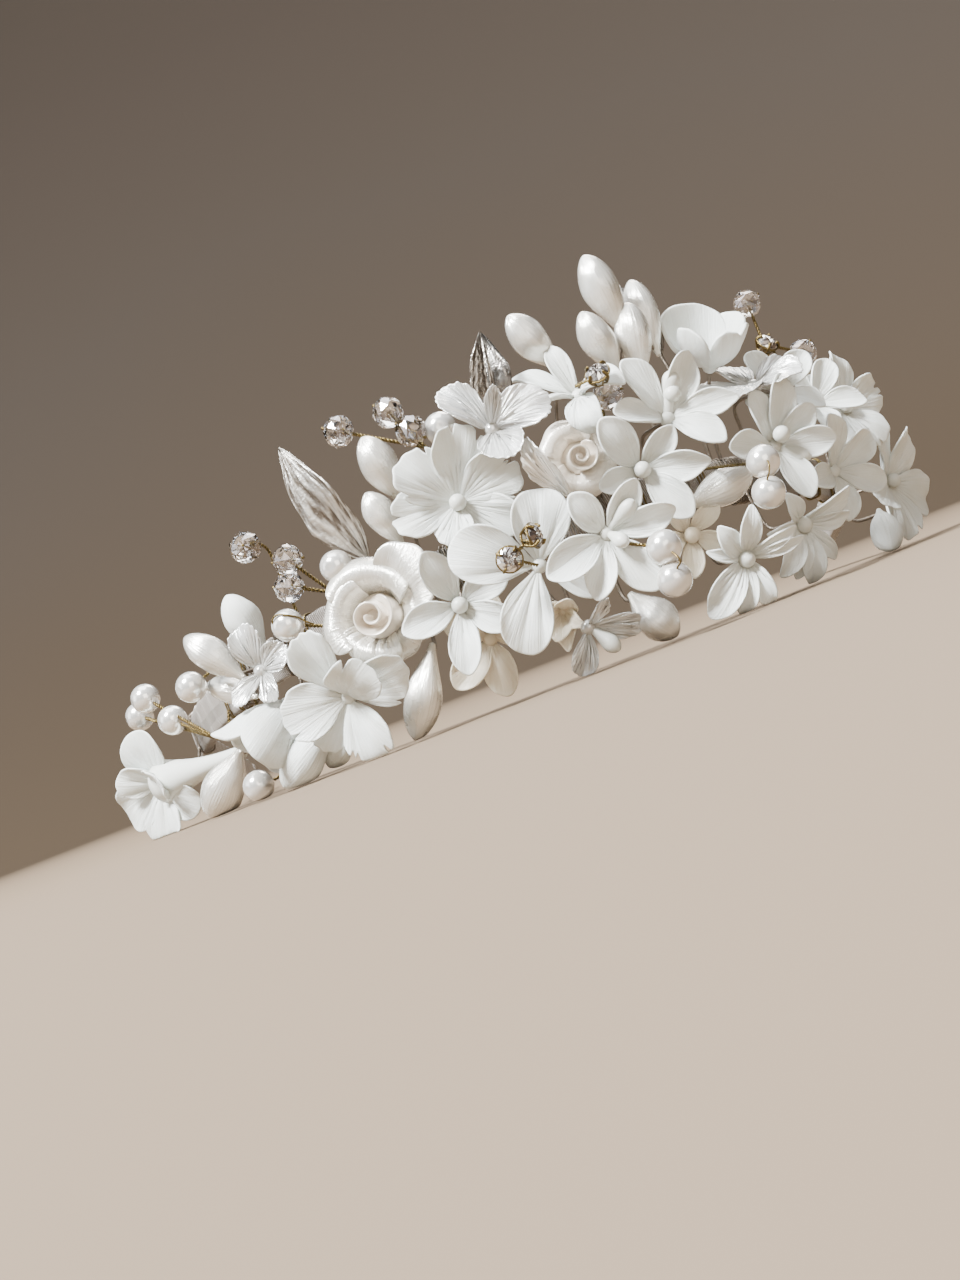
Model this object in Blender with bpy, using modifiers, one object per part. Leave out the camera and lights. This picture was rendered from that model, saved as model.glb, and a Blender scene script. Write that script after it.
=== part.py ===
# Bridal flower tiara: a horseshoe band that carries clay flowers, buds, roses,
# pearls, cut crystals, set stones and metal leaves, each on its own wire stem.
# Metres, +Z up. The front of the tiara looks along -Y, its left end is at -X.
# The tables give places round the band: angle in degrees from the front, out in mm
# from the band's middle line, high in mm above the surface that the tiara stands on.
import bpy
import bmesh
from math import atan2, cos, degrees, log, pi, radians, sin, tan
from mathutils import Matrix, Vector

MM = 0.001

# Band
BAND_RADIUS = 74.0
BAND_THICK = 2.4
BAND_TALL = 8.0
BAND_FRONT_HIGH = 27.0
LEG_LENGTH = 48.0
ARC_STEP = 9
LOOP_WIDTH = 8.0
LOOP_THICK = 3.0
LOOP_HOLE = 3.0
LOOP_SIDES = 12

# Wires. A stem runs in to the lane beside the band and ends a gap short of it, within
# the spread above and below the band's middle line; a stem that needs less than the
# near bend and turn runs straight.
WIRE_RADIUS = 0.45
SEAT_GAP = 0.3
SEAT_SPREAD = 2.5
STEM_LANE = 3.2
NEAR_BEND = 1.5
NEAR_TURN = 2.0
BUD_WIRE_DEPTH = 1.5

# Round and cut pieces. Profiles are (radius, height) from the top down.
PEARL_RADIUS = 3.0
PEARL_SIDES = 10
PEARL_RINGS = 5
CUT_SIDES = 8
CRYSTAL_PROFILE = [(0, 2.2), (1.5, 2.2), (3.0, 0.5), (3.0, -0.5), (1.5, -2.2), (0, -2.2)]
STONE_PROFILE = [(0, 1.6), (1.2, 1.6), (2.3, 0.7), (2.1, -0.6), (1.1, -1.5), (0, -1.5)]
BUD_SIDES = 8
BUD_STEPS = 5

# Hearts of the flowers
HEART_RADIUS = 1.5
HEART_SIDES = 6
HEART_RINGS = 4
HEART_LIFT = 0.9
STAMEN_LENGTH = 8.0
STAMEN_WIDE = 2.8
STAMEN_SIDES = 6
STAMEN_STEPS = 4
STAMEN_LEAN = 24
STAMEN_FROM = 0.6

# Roses: petal length and heart radius as shares of the size, and the furled heart's
# profile as shares of that radius
ROSE_PETAL = 1.15
ROSE_HEART = 0.55
ROSE_SIDES = 10
ROSE_PROFILE = [(0, 0.8), (0.5, 1.3), (0.8, 1.2), (1, 0.5), (0.6, -0.3), (0, -0.4)]

# Colour, roughness and metallic value of each finish
FINISHES = {
    "matte_clay": ((0.86, 0.87, 0.87), 0.55, 0.0),
    "cream_clay": ((0.86, 0.80, 0.68), 0.55, 0.0),
    "pearl_clay": ((0.88, 0.86, 0.82), 0.25, 0.0),
    "veined_clay": ((0.82, 0.82, 0.82), 0.22, 0.0),
    "pearl": ((0.86, 0.84, 0.82), 0.12, 0.0),
    "crystal": ((0.88, 0.88, 0.92), 0.05, 0.0),
    "set_stone": ((0.72, 0.66, 0.52), 0.15, 0.6),
    "aged_silver": ((0.52, 0.50, 0.48), 0.35, 1.0),
    "wrapped_band": ((0.50, 0.46, 0.45), 0.45, 0.4),
}

# Petal forms. wide: widest width as a share of the length. peak: where along the petal
# that is. rise and tip: slope of its root and its tip in degrees. hollow: its dish
# across. turn: its turn about its own middle line in degrees.
FORMS = {
    "star": dict(count=5, wide=0.66, peak=0.60, rise=38, tip=-8, hollow=0.30, turn=13),
    "ruffle": dict(count=5, wide=0.92, peak=0.74, rise=42, tip=-6, hollow=0.12, turn=17),
    "broad": dict(count=4, wide=0.74, peak=0.66, rise=30, tip=-10, hollow=0.20, turn=10),
    "cup": dict(count=4, wide=0.74, peak=0.60, rise=74, tip=38, hollow=0.42, turn=16),
    "lily": dict(count=6, wide=0.40, peak=0.58, rise=60, tip=-22, hollow=0.35, turn=9),
    "pearly": dict(count=4, wide=0.80, peak=0.68, rise=46, tip=4, hollow=0.22, turn=14),
    "rose": dict(count=4, wide=1.10, peak=0.72, rise=62, tip=-30, hollow=0.45, turn=15),
}
PETAL_ROWS = 3
PETAL_COLUMNS = 2
PETAL_THICK = 0.9
PETAL_ROOT = 1.0
ROOT_HALF = 0.5
ROOT_SHARP = 1.2
TIP_SHARP = 0.6
PETAL_FROM = 0.05
PETAL_TO = 0.98

# A flower's core: half its width across the flats and its depth
CORE_HALF = 1.6
CORE_DEEP = 1.5

# Leaves: bow is a share of the length, fold the rise of an edge as a share of its half width
LEAF_ROWS = 6
LEAF_COLUMNS = 2
LEAF_THICK = 0.7
LEAF_FROM = 0.03
LEAF_TO = 0.99
LEAF_BOW = 0.08
LEAF_FOLD = 0.45

# Flowers. size: petal length in mm. face and lift: turn of the flower's axis from the
# outward line, in degrees. spin: turn of its petals.
FLOWERS = [
    # name, form, heart, finish, angle, out, high, size, face, lift, spin
    ("flower_left_end", "ruffle", "ball", "matte_clay", -80, 11, 12.5, 11.5, 18, -5, -165),
    ("flower_left_tulip", "cup", "none", "matte_clay", -41, 8, 12.5, 8.5, -5, -15, -110),
    ("flower_left_ruffled", "ruffle", "ball", "matte_clay", -23, 14, 12, 10.5, 10, -10, -160),
    ("flower_star_front", "star", "ball", "matte_clay", -7.1, 9.3, 19.9, 11.3, 5, -5, -163),
    ("flower_ruffled_top", "ruffle", "ball", "matte_clay", -2.8, 12.5, 36.3, 12, 3, -3, 163),
    ("flower_broad_front", "broad", "none", "matte_clay", 3, 16.6, 20.8, 14, -4, -5, -150),
    ("flower_cream_low", "star", "none", "cream_clay", -5.6, 2.6, 12.5, 10, 0, -4, -122),
    ("flower_pearly_mid", "pearly", "none", "veined_clay", 3.7, 15.5, 45.4, 9, 10, 33, -40),
    ("flower_bud_stamens", "star", "stamens", "matte_clay", 9.8, 24.8, 21.3, 11.8, -7, -5, 170),
    ("flower_ball_right", "star", "ball", "matte_clay", 19.2, 11.5, 30.6, 10.4, -18, -10, 97),
    ("flower_lily_top", "lily", "none", "matte_clay", 16.6, 8, 46.8, 10.5, -30, 30, -68),
    ("flower_tall_stamens", "star", "stamens", "matte_clay", 25, 14, 40, 11.6, -5, 35, 109),
    ("flower_cup_back", "cup", "none", "matte_clay", 40, 4, 49, 9.5, -17, 22, 22),
    ("flower_pearly_back", "pearly", "none", "veined_clay", 42, 6, 39, 8.5, -30, 20, 23),
    ("flower_right_stamens", "star", "stamens", "matte_clay", 40.5, 11, 26.5, 12, -22, -2, 35),
    ("flower_lily_low", "lily", "ball", "matte_clay", 27, 13, 11, 10.8, -30, -18, -152),
    ("flower_right_low", "lily", "ball", "matte_clay", 39.5, 11, 11, 9.8, -22, -26, -150),
    ("flower_right_mid", "star", "none", "matte_clay", 51, 9, 18.5, 9.2, -17, -7, 9),
    ("flower_right_high", "ruffle", "none", "matte_clay", 70, 8, 31, 9.5, -20, 5, 16),
    ("flower_right_end", "ruffle", "ball", "matte_clay", 77, 11, 13, 11.8, -12, -8, -167),
    ("flower_pearly_low", "pearly", "none", "veined_clay", 6, 12, 8, 8, -3, -20, -178),
    ("flower_cream_small", "cup", "none", "cream_clay", 4.5, 5.5, 12.5, 6, -15, -15, -137),
    ("flower_cream_behind", "star", "ball", "cream_clay", 24.5, 5.5, 17, 7, -20, -9, 52),
    ("flower_pearly_left", "pearly", "none", "veined_clay", -35, 10, 23, 8, 22, 13, -30),
]

ROSES = [
    # name, finish, angle, out, high, size, face, lift, spin
    ("rose_front", "pearl_clay", -17.2, 5.8, 25.4, 7.5, 8, 5, 30),
    ("rose_back", "cream_clay", 13.6, 4.6, 37.6, 6.6, -10, -2, 60),
]

# Buds. Each runs from its root to its tip; rows of one name are one sprig.
BUDS = [
    # name, finish, root angle, out, high, tip angle, out, high, wide
    ("buds_left", "pearl_clay", -40, 8, 22.5, -45.5, 11, 34, 6.0),
    ("buds_left", "pearl_clay", -42.5, 5.5, 18.5, -48, 6, 24, 4.6),
    ("bud_left_matte", "matte_clay", -36, 6, 26, -36.5, 9, 37.5, 6.0),
    ("bud_left_low", "pearl_clay", -47, 7, 9, -52.5, 11, 1, 5.4),
    ("buds_low_matte", "matte_clay", -29, 9, 8.5, -36.5, 13, 1, 6.8),
    ("buds_low_matte", "matte_clay", -27.5, 6, 7, -32.5, 7, 1.5, 5.0),
    ("bud_hanging", "pearl_clay", -12.8, 7.5, 14.8, -18, 10, 0.4, 5.8),
    ("buds_upper_left", "pearl_clay", -9.5, 6, 41, -11, 8, 53.5, 6.2),
    ("buds_upper_left", "pearl_clay", -11.5, 7, 34.5, -13, 9, 44, 5.2),
    ("bud_spray_top", "pearl_clay", 27, 4, 55.5, 26.5, 3, 72, 6.3),
    ("bud_spray_top", "pearl_clay", 23, 6, 48.5, 21.5, 6, 61, 5.6),
    ("bud_spray_top", "pearl_clay", 26.5, 5, 46.5, 29.5, 5, 60, 5.8),
    ("bud_spray_top", "pearl_clay", 32.5, 3, 51, 35, 0, 65, 5.4),
    ("bud_top_left", "pearl_clay", 15.5, 3, 55, 12, 5, 65, 5.6),
    ("bud_right_pearly", "pearl_clay", 24, 10.5, 23, 31.5, 12.5, 22.8, 5.3),
    ("bud_low_right", "pearl_clay", 13, 9, 11, 16, 12, 1, 6.6),
    ("bud_right_end", "matte_clay", 66, 9, 8, 62, 12, 1, 5.0),
]

LEAVES = [
    # name, finish, root angle, out, high, tip angle, out, high, wide
    ("leaf_left", "aged_silver", -17, 3.5, 34, -22, 7, 58.5, 8.6),
    ("leaf_middle", "aged_silver", 5.5, 4, 47, 8, 4, 64.5, 7.6),
    ("leaf_back", "aged_silver", 37, -3, 51, 34, -8, 69.5, 8.0),
    ("petal_pearly", "veined_clay", 8, 11, 30.5, 6.5, 12, 41, 5.4),
]

# Beads and stones. face and lift turn a crystal's hole or a stone's table from the
# outward line; rows of one name are one sprig.
BEADS = [
    # name, kind, angle, out, high, face, lift
    ("pearls_left_end", "pearl", -66, 10, 28, 0, 0),
    ("pearls_left_end", "pearl", -72, 9, 25, 0, 0),
    ("pearl_left", "pearl", -47.5, 12, 25, 0, 0),
    ("pearl_left_low", "pearl", -43.5, 10, 3, 0, 0),
    ("pearl_gold_wire", "pearl", -28, 12, 28, 0, 0),
    ("pearl_by_rose", "pearl", -20.1, 8.5, 34.5, 0, 0),
    ("pearl_behind", "pearl", -1.5, 5, 50.5, 0, 0),
    ("pearls_right", "pearl", 31, 24, 24, 0, 0),
    ("pearls_right", "pearl", 30, 24, 18.5, 0, 0),
    ("pearls_front", "pearl", 13.4, 31.8, 15.5, 0, 0),
    ("pearls_front", "pearl", 13.1, 31.8, 10, 0, 0),
    ("crystal_left", "crystal", -30.5, 10, 44, 10, 0),
    ("crystals_left", "crystal", -25.5, 10, 38.5, 0, 75),
    ("crystals_left", "crystal", -26, 10, 33.8, 0, 80),
    ("crystals_upper", "crystal", -13.5, 8, 56.5, 80, 10),
    ("crystals_upper", "crystal", -7, 6, 56.5, 40, 20),
    ("crystals_upper", "crystal", -5, 9, 51.5, 70, 0),
    ("crystal_back", "crystal", 64, 0, 58, 30, 20),
    ("crystals_right", "stone", 60, 2, 48, -20, 30),
    ("crystals_right", "crystal", 68, 3, 43.5, 20, 40),
    ("stone_lily", "stone", 16.8, 17.5, 47.9, -30, 10),
    ("crystal_lily", "crystal", 20.2, 8, 45.4, 40, 0),
    ("stones_front", "stone", 0.1, 24, 23.2, 0, -5),
    ("stones_front", "stone", 2.9, 24.5, 25.4, 60, 0),
    ("stone_right_end", "stone", 76, 6, 27, 20, 20),
]

# Stems. seat: angle where a stem ends on the band, its own angle if not given. bend: mm
# that it climbs before it turns to the band. Those in TOP_SEATS end on the band's top edge.
SEATS = {
    "pearl_left_low": -45.2, "bud_left_low": -47.5, "buds_left": -43, "pearl_left": -49.5,
    "buds_low_matte": -31, "bud_hanging": -13, "buds_upper_left": -10.5, "bud_spray_top": 29,
    "bud_top_left": 11, "bud_right_pearly": 26.5, "bud_right_end": 67, "crystals_left": -25,
    "crystals_upper": -6, "crystal_back": 65, "crystals_right": 59, "crystal_lily": 21.3,
    "flower_cup_back": 38, "flower_lily_top": 15.5, "flower_pearly_back": 43.5, "leaf_back": 36,
    "flower_cream_small": 1.5, "pearls_right": 32, "flower_cream_low": -4.5,
}
BENDS = {"pearl_left": 2.5, "pearls_right": 4.5}
TOP_SEATS = ("leaf_back", "bud_top_left", "crystals_upper", "crystal_back", "flower_cup_back",
             "bud_spray_top", "leaf_middle", "pearl_behind")
# Set stones that sit in a flower's heart end there instead of at the band
HEART_SEATS = {
    "stones_front": (2.8, 18.6, 20.8), "pearls_front": (10.2, 27.0, 19.2), "stone_lily": (15.5, 10.6, 48.4),
}


def band_high(y):
    # Height of the band's middle line at a depth y, all in mm
    fall = (BAND_FRONT_HIGH - LOOP_WIDTH / 2) / (BAND_RADIUS + LEG_LENGTH)
    return BAND_FRONT_HIGH - (y + BAND_RADIUS) * fall


def place(angle, out, high):
    # A point round the band, in metres
    reach = BAND_RADIUS + out
    return Vector((reach * sin(radians(angle)), -reach * cos(radians(angle)), high)) * MM


def direction(angle, face, lift):
    turned = radians(angle + face)
    level = cos(radians(lift))
    return Vector((level * sin(turned), -level * cos(turned), sin(radians(lift))))


def axes(facing, spin):
    # Axes of a flower: Z along its facing, X towards its first petal
    upward = Vector((0, 0, 1)) - facing * facing.z
    if upward.length < 0.2:
        upward = Vector((0, 1, 0)) - facing * facing.y
    upward.normalize()
    side = upward.cross(facing)
    turned = radians(spin)
    first = upward * cos(turned) + side * sin(turned)
    return Matrix((first, facing.cross(first), facing)).transposed().to_4x4()


def evaluated_mesh(thing):
    # The object's mesh with its modifiers or its tube, caps welded, and the object gone
    bpy.context.view_layer.update()
    graph = bpy.context.evaluated_depsgraph_get()
    mesh = bpy.data.meshes.new_from_object(thing.evaluated_get(graph))
    bm = bmesh.new()
    bm.from_mesh(mesh)
    bmesh.ops.remove_doubles(bm, verts=bm.verts, dist=0.000001)
    bm.to_mesh(mesh)
    bm.free()
    bpy.data.objects.remove(thing)
    return mesh


def add_object(name, data, collection):
    thing = bpy.data.objects.new(name, data)
    collection.objects.link(thing)
    return thing


def grid_shell(rows, columns, point, thick):
    # A closed thin shell: a grid whose points go where point(share, across) says
    bm = bmesh.new()
    bmesh.ops.create_grid(bm, x_segments=columns, y_segments=rows, size=1.0)
    for vertex in bm.verts:
        vertex.co = point((vertex.co.y + 1) / 2, vertex.co.x) * MM
    mesh = bpy.data.meshes.new("shell")
    bm.to_mesh(mesh)
    bm.free()
    shell = add_object("shell", mesh, cutters)
    solid = shell.modifiers.new("Thickness", "SOLIDIFY")
    solid.thickness = thick * MM
    solid.offset = 0
    return evaluated_mesh(shell)


def petal_shell(form, size):
    # One petal along +X: its middle line is an arc that starts at the rise angle and
    # ends at the tip angle, and its width is a sine lobe that is widest at the peak
    shape = FORMS[form]
    rise, bend = radians(shape["rise"]), radians(shape["tip"] - shape["rise"])
    power = log(0.5) / log(shape["peak"])
    turn = radians(shape["turn"])
    length = size - PETAL_ROOT

    def point(share, across):
        along = PETAL_FROM + (PETAL_TO - PETAL_FROM) * share
        slope = rise + bend * along
        reach = PETAL_ROOT + length * (sin(slope) - sin(rise)) / bend
        height = length * (cos(rise) - cos(slope)) / bend
        lobe = sin(pi * along ** power) ** (ROOT_SHARP + (TIP_SHARP - ROOT_SHARP) * along)
        half = ROOT_HALF + (shape["wide"] * size / 2 - ROOT_HALF) * lobe
        lift = half * lobe * (across * sin(turn) + shape["hollow"] * across ** 2)
        return Vector((reach - sin(slope) * lift, half * across * cos(turn), height + cos(slope) * lift))

    return grid_shell(PETAL_ROWS, PETAL_COLUMNS, point, PETAL_THICK)


def leaf_shell(wide, length):
    # One leaf along +X, folded along its midrib and bowed, pointed at its tip
    def point(share, across):
        along = LEAF_FROM + (LEAF_TO - LEAF_FROM) * share
        lobe = sin(pi * along ** 0.8) ** 0.9
        half = ROOT_HALF + (wide / 2 - ROOT_HALF) * lobe
        bow = LEAF_BOW * length * sin(pi * along)
        return Vector((length * along, half * across, bow + LEAF_FOLD * half * lobe * abs(across)))

    return grid_shell(LEAF_ROWS, LEAF_COLUMNS, point, LEAF_THICK)


def turned_solid(profile, sides):
    # A solid of revolution about Z from (radius, height) points, top to bottom
    bm = bmesh.new()
    previous = None
    for radius, height in profile:
        vertex = bm.verts.new((radius * MM, 0, height * MM))
        if previous:
            bm.edges.new((previous, vertex))
        previous = vertex
    mesh = bpy.data.meshes.new("profile")
    bm.to_mesh(mesh)
    bm.free()
    turned = add_object("profile", mesh, cutters)
    screw = turned.modifiers.new("Turn", "SCREW")
    screw.steps = screw.render_steps = sides
    screw.use_merge_vertices = True
    screw.merge_threshold = 0.00001
    return evaluated_mesh(turned)


def wire_solid(points):
    # A wire of six sides through the points, with flat ends
    curve = bpy.data.curves.new("wire", "CURVE")
    curve.dimensions = "3D"
    curve.bevel_depth = WIRE_RADIUS * MM
    curve.bevel_resolution = 1
    curve.use_fill_caps = True
    spline = curve.splines.new("POLY")
    spline.points.add(len(points) - 1)
    for slot, point in zip(spline.points, points):
        slot.co = (*point, 1)
    return evaluated_mesh(add_object("wire", curve, cutters))


def ball_solid(radius, sides, rings):
    bm = bmesh.new()
    bmesh.ops.create_uvsphere(bm, u_segments=sides, v_segments=rings, radius=radius * MM)
    mesh = bpy.data.meshes.new("ball")
    bm.to_mesh(mesh)
    bm.free()
    return mesh


def bud_solid(length, wide, sides, steps):
    # A drop along +Z that is fullest past its middle and runs to a round tip
    profile = []
    for step in range(steps + 1):
        along = 1 - step / steps
        profile.append((wide / 2 * sin(pi * along ** 1.25) ** 0.85 if 0 < along < 1 else 0, length * along))
    return turned_solid(profile, sides)


def joined(solids):
    # One mesh of several solids, each a mesh with its matrix
    bm = bmesh.new()
    for mesh, matrix in solids:
        first = len(bm.verts)
        bm.from_mesh(mesh)
        bm.verts.ensure_lookup_table()
        bmesh.ops.transform(bm, matrix=matrix, verts=bm.verts[first:])
    mesh = bpy.data.meshes.new("joined")
    bm.to_mesh(mesh)
    bm.free()
    return mesh


def fused(name, finish, core, solids):
    # One sub-part: its core with the other solids joined to it by a Boolean union
    thing = add_object(name, joined([core]), parts)
    thing.data.materials.append(material(finish))
    thing.parent = stand
    if solids:
        other = add_object(name + "_added", joined(solids), cutters)
        other.parent = stand
        other.hide_render = True
        other.display_type = "WIRE"
        union = thing.modifiers.new("Fuse", "BOOLEAN")
        union.operation = "UNION"
        union.object = other
        union.use_self = True
    return thing


def material(finish):
    found = bpy.data.materials.get(finish)
    if found:
        return found
    colour, roughness, metallic = FINISHES[finish]
    made = bpy.data.materials.new(finish)
    made.use_nodes = True
    shader = made.node_tree.nodes["Principled BSDF"]
    shader.inputs["Base Color"].default_value = (*colour, 1)
    shader.inputs["Roughness"].default_value = roughness
    shader.inputs["Metallic"].default_value = metallic
    return made


def stem(name, start):
    # A wire from start in towards the band, along it, and on to its seat
    if name in HEART_SEATS:
        return wire_solid([start, place(*HEART_SEATS[name])])
    angle = degrees(atan2(start.x, -start.y))
    high = start.z / MM
    seat = SEATS.get(name, angle)
    middle = band_high(-BAND_RADIUS * cos(radians(seat)))
    if name in TOP_SEATS:
        top = middle + BAND_TALL / 2 + SEAT_GAP
        return wire_solid([start, place((angle + seat) / 2, 0, (high + top) / 2), place(seat, 0, top)])
    turn_high = high + BENDS.get(name, 0)
    seat_high = middle + max(-SEAT_SPREAD, min(SEAT_SPREAD, turn_high - middle))
    if abs(turn_high - seat_high) < NEAR_BEND and abs(angle - seat) < NEAR_TURN:
        return wire_solid([start, place(seat, BAND_THICK / 2 + SEAT_GAP, seat_high)])
    beside = BAND_THICK / 2 + SEAT_GAP + WIRE_RADIUS
    return wire_solid([start, place(angle, STEM_LANE, turn_high), place(seat, beside, seat_high)])


def build_flower(name, form, heart, finish, angle, out, high, size, face, lift, spin):
    centre = place(angle, out, high)
    facing = direction(angle, face, lift)
    turn = Matrix.Translation(centre) @ axes(facing, spin)
    petal = petal_shell(form, size)
    count = FORMS[form]["count"]
    solids = [(petal, turn @ Matrix.Rotation(2 * pi * k / count, 4, "Z")) for k in range(count)]
    # The core is a prism with one flat side for each petal
    rise = radians(FORMS[form]["rise"])
    top = (CORE_HALF - PETAL_ROOT) * tan(rise) + PETAL_THICK / 2 / cos(rise) + SEAT_GAP
    wide = CORE_HALF / cos(pi / count)
    profile = [(0, top), (wide, top), (wide, -CORE_DEEP), (0, -CORE_DEEP)]
    core = (turned_solid(profile, count), turn @ Matrix.Rotation(pi / count, 4, "Z"))
    if heart == "ball":
        ball = ball_solid(HEART_RADIUS, HEART_SIDES, HEART_RINGS)
        solids.append((ball, turn @ Matrix.Translation((0, 0, (top + HEART_LIFT) * MM))))
    if heart == "stamens":
        for side in (1, -1):
            lean = Matrix.Rotation(radians(STAMEN_LEAN * side), 4, "X")
            stamen = bud_solid(STAMEN_LENGTH, STAMEN_WIDE, STAMEN_SIDES, STAMEN_STEPS)
            solids.append((stamen, turn @ lean @ Matrix.Translation((0, 0, STAMEN_FROM * MM))))
    solids.append((stem(name, centre - facing * MM), Matrix()))
    fused(name, finish, core, solids)


def build_rose(name, finish, angle, out, high, size, face, lift, spin):
    centre = place(angle, out, high)
    facing = direction(angle, face, lift)
    turn = Matrix.Translation(centre) @ axes(facing, spin)
    petal = petal_shell("rose", size * ROSE_PETAL)
    count = FORMS["rose"]["count"]
    solids = [(petal, turn @ Matrix.Rotation(2 * pi * k / count, 4, "Z")) for k in range(count)]
    solids.append((stem(name, centre - facing * MM), Matrix()))
    wide = size * ROSE_HEART
    profile = [(radius * wide, height * wide) for radius, height in ROSE_PROFILE]
    fused(name, finish, (turned_solid(profile, ROSE_SIDES), turn), solids)


def along_matrix(start, end, up):
    # X along the line from start to end, Z as near to up as that lets it
    ahead = (end - start).normalized()
    side = up.cross(ahead).normalized()
    return Matrix.Translation(start) @ Matrix((ahead, side, ahead.cross(side))).transposed().to_4x4()


def build_buds(name, rows):
    # The buds of one sprig meet at the root of the first, which carries the stem
    solids = []
    for finish, angle, out, high, tip_angle, tip_out, tip_high, wide in rows:
        start, end = place(angle, out, high), place(tip_angle, tip_out, tip_high)
        matrix = along_matrix(start, end, direction(angle, 0, 0)) @ Matrix.Rotation(pi / 2, 4, "Y")
        bud = bud_solid((end - start).length / MM, wide, BUD_SIDES, BUD_STEPS)
        solids.append((bud, matrix))
        inward = start + (end - start).normalized() * BUD_WIRE_DEPTH * MM
        if len(solids) == 1:
            joint = inward
            wires = [stem(name, inward)]
        else:
            wires.append(wire_solid([inward, joint]))
    fused(name, rows[0][0], solids[0], solids[1:] + [(wire, Matrix()) for wire in wires])


def build_leaf(name, finish, angle, out, high, tip_angle, tip_out, tip_high, wide):
    start, end = place(angle, out, high), place(tip_angle, tip_out, tip_high)
    matrix = along_matrix(start, end, direction(angle, 0, 0))
    length = (end - start).length / MM
    inward = start + (end - start).normalized() * BUD_WIRE_DEPTH * MM
    core = (leaf_shell(wide, length), matrix)
    fused(name, finish, core, [(stem(name, inward), Matrix())])


def build_beads(name, rows):
    finishes = {"pearl": "pearl", "crystal": "crystal", "stone": "set_stone"}
    profiles = {"crystal": CRYSTAL_PROFILE, "stone": STONE_PROFILE}
    solids = []
    for kind, angle, out, high, face, lift in rows:
        centre = place(angle, out, high)
        turn = Matrix.Translation(centre) @ axes(direction(angle, face, lift), 0)
        if kind == "pearl":
            solids.append((ball_solid(PEARL_RADIUS, PEARL_SIDES, PEARL_RINGS), turn))
        else:
            solids.append((turned_solid(profiles[kind], CUT_SIDES), turn))
    first = place(*rows[0][1:4])
    for row in rows[1:]:
        solids.append((wire_solid([first, place(*row[1:4])]), Matrix()))
    solids.append((stem(name, first), Matrix()))
    fused(name, finishes[rows[0][0]], solids[0], solids[1:])


def build_band():
    # The horseshoe's outline seen from above, made 8 mm tall and sloped to the back
    half = BAND_THICK / 2
    angles = range(-90, 91, ARC_STEP)
    outer = [place(angle, half, 0) for angle in angles]
    inner = [place(angle, -half, 0) for angle in angles]
    back = LEG_LENGTH * MM
    ends = [Vector((outer[-1].x, back, 0)), Vector((inner[-1].x, back, 0))]
    far_ends = [Vector((inner[0].x, back, 0)), Vector((outer[0].x, back, 0))]
    outline = outer + ends + inner[::-1] + far_ends
    curve = bpy.data.curves.new("outline", "CURVE")
    curve.dimensions = "2D"
    curve.fill_mode = "BOTH"
    curve.extrude = BAND_TALL / 2 * MM
    spline = curve.splines.new("POLY")
    spline.points.add(len(outline) - 1)
    spline.use_cyclic_u = True
    for slot, point in zip(spline.points, outline):
        slot.co = (*point, 1)
    mesh = evaluated_mesh(add_object("outline", curve, cutters))
    for vertex in mesh.vertices:
        vertex.co.z += band_high(vertex.co.y / MM) * MM
    loops, holes = [], []
    for side in (-1, 1):
        centre = Vector((side * BAND_RADIUS * MM, back, band_high(LEG_LENGTH) * MM))
        turn = Matrix.Translation(centre) @ Matrix.Rotation(pi / 2, 4, "Y")
        loops.append((disc_solid(LOOP_WIDTH / 2, LOOP_THICK), turn))
        holes.append((disc_solid(LOOP_HOLE / 2, LOOP_THICK * 2), turn))
    band = fused("band", "wrapped_band", (mesh, Matrix()), loops)
    cutter = add_object("band_holes", joined(holes), cutters)
    cutter.parent = stand
    cutter.hide_render = True
    cutter.display_type = "WIRE"
    cut = band.modifiers.new("Holes", "BOOLEAN")
    cut.operation = "DIFFERENCE"
    cut.object = cutter


def disc_solid(radius, thick):
    bm = bmesh.new()
    bmesh.ops.create_cone(bm, cap_ends=True, segments=LOOP_SIDES, radius1=radius * MM,
                          radius2=radius * MM, depth=thick * MM)
    mesh = bpy.data.meshes.new("disc")
    bm.to_mesh(mesh)
    bm.free()
    return mesh


def grouped(table):
    names = {}
    for name, *row in table:
        names.setdefault(name, []).append(row)
    return names


def centre_on_origin():
    # Moves the stand so that the tiara's box is centred over the origin, on Z = 0
    bpy.context.view_layer.update()
    graph = bpy.context.evaluated_depsgraph_get()
    low, high = Vector((1, 1, 1)), Vector((-1, -1, -1))
    for thing in parts.objects:
        if thing.type == "MESH":
            for vertex in thing.evaluated_get(graph).data.vertices:
                low = Vector(map(min, low, vertex.co))
                high = Vector(map(max, high, vertex.co))
    stand.location = (-(low.x + high.x) / 2, -(low.y + high.y) / 2, -low.z)


for old in list(bpy.data.objects):
    bpy.data.objects.remove(old)
parts = bpy.data.collections.new("flower_tiara")
cutters = bpy.data.collections.new("cutters")
for collection in (parts, cutters):
    bpy.context.scene.collection.children.link(collection)
stand = add_object("stand", None, parts)

build_band()
for row in FLOWERS:
    build_flower(*row)
for row in ROSES:
    build_rose(*row)
for name, rows in grouped(BUDS).items():
    build_buds(name, rows)
for row in LEAVES:
    build_leaf(*row)
for name, rows in grouped(BEADS).items():
    build_beads(name, rows)
centre_on_origin()
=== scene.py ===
from math import atan, atan2, cos, degrees, pi, radians, sin

import bmesh
import bpy
import numpy as np
from mathutils import Matrix, Vector


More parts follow.
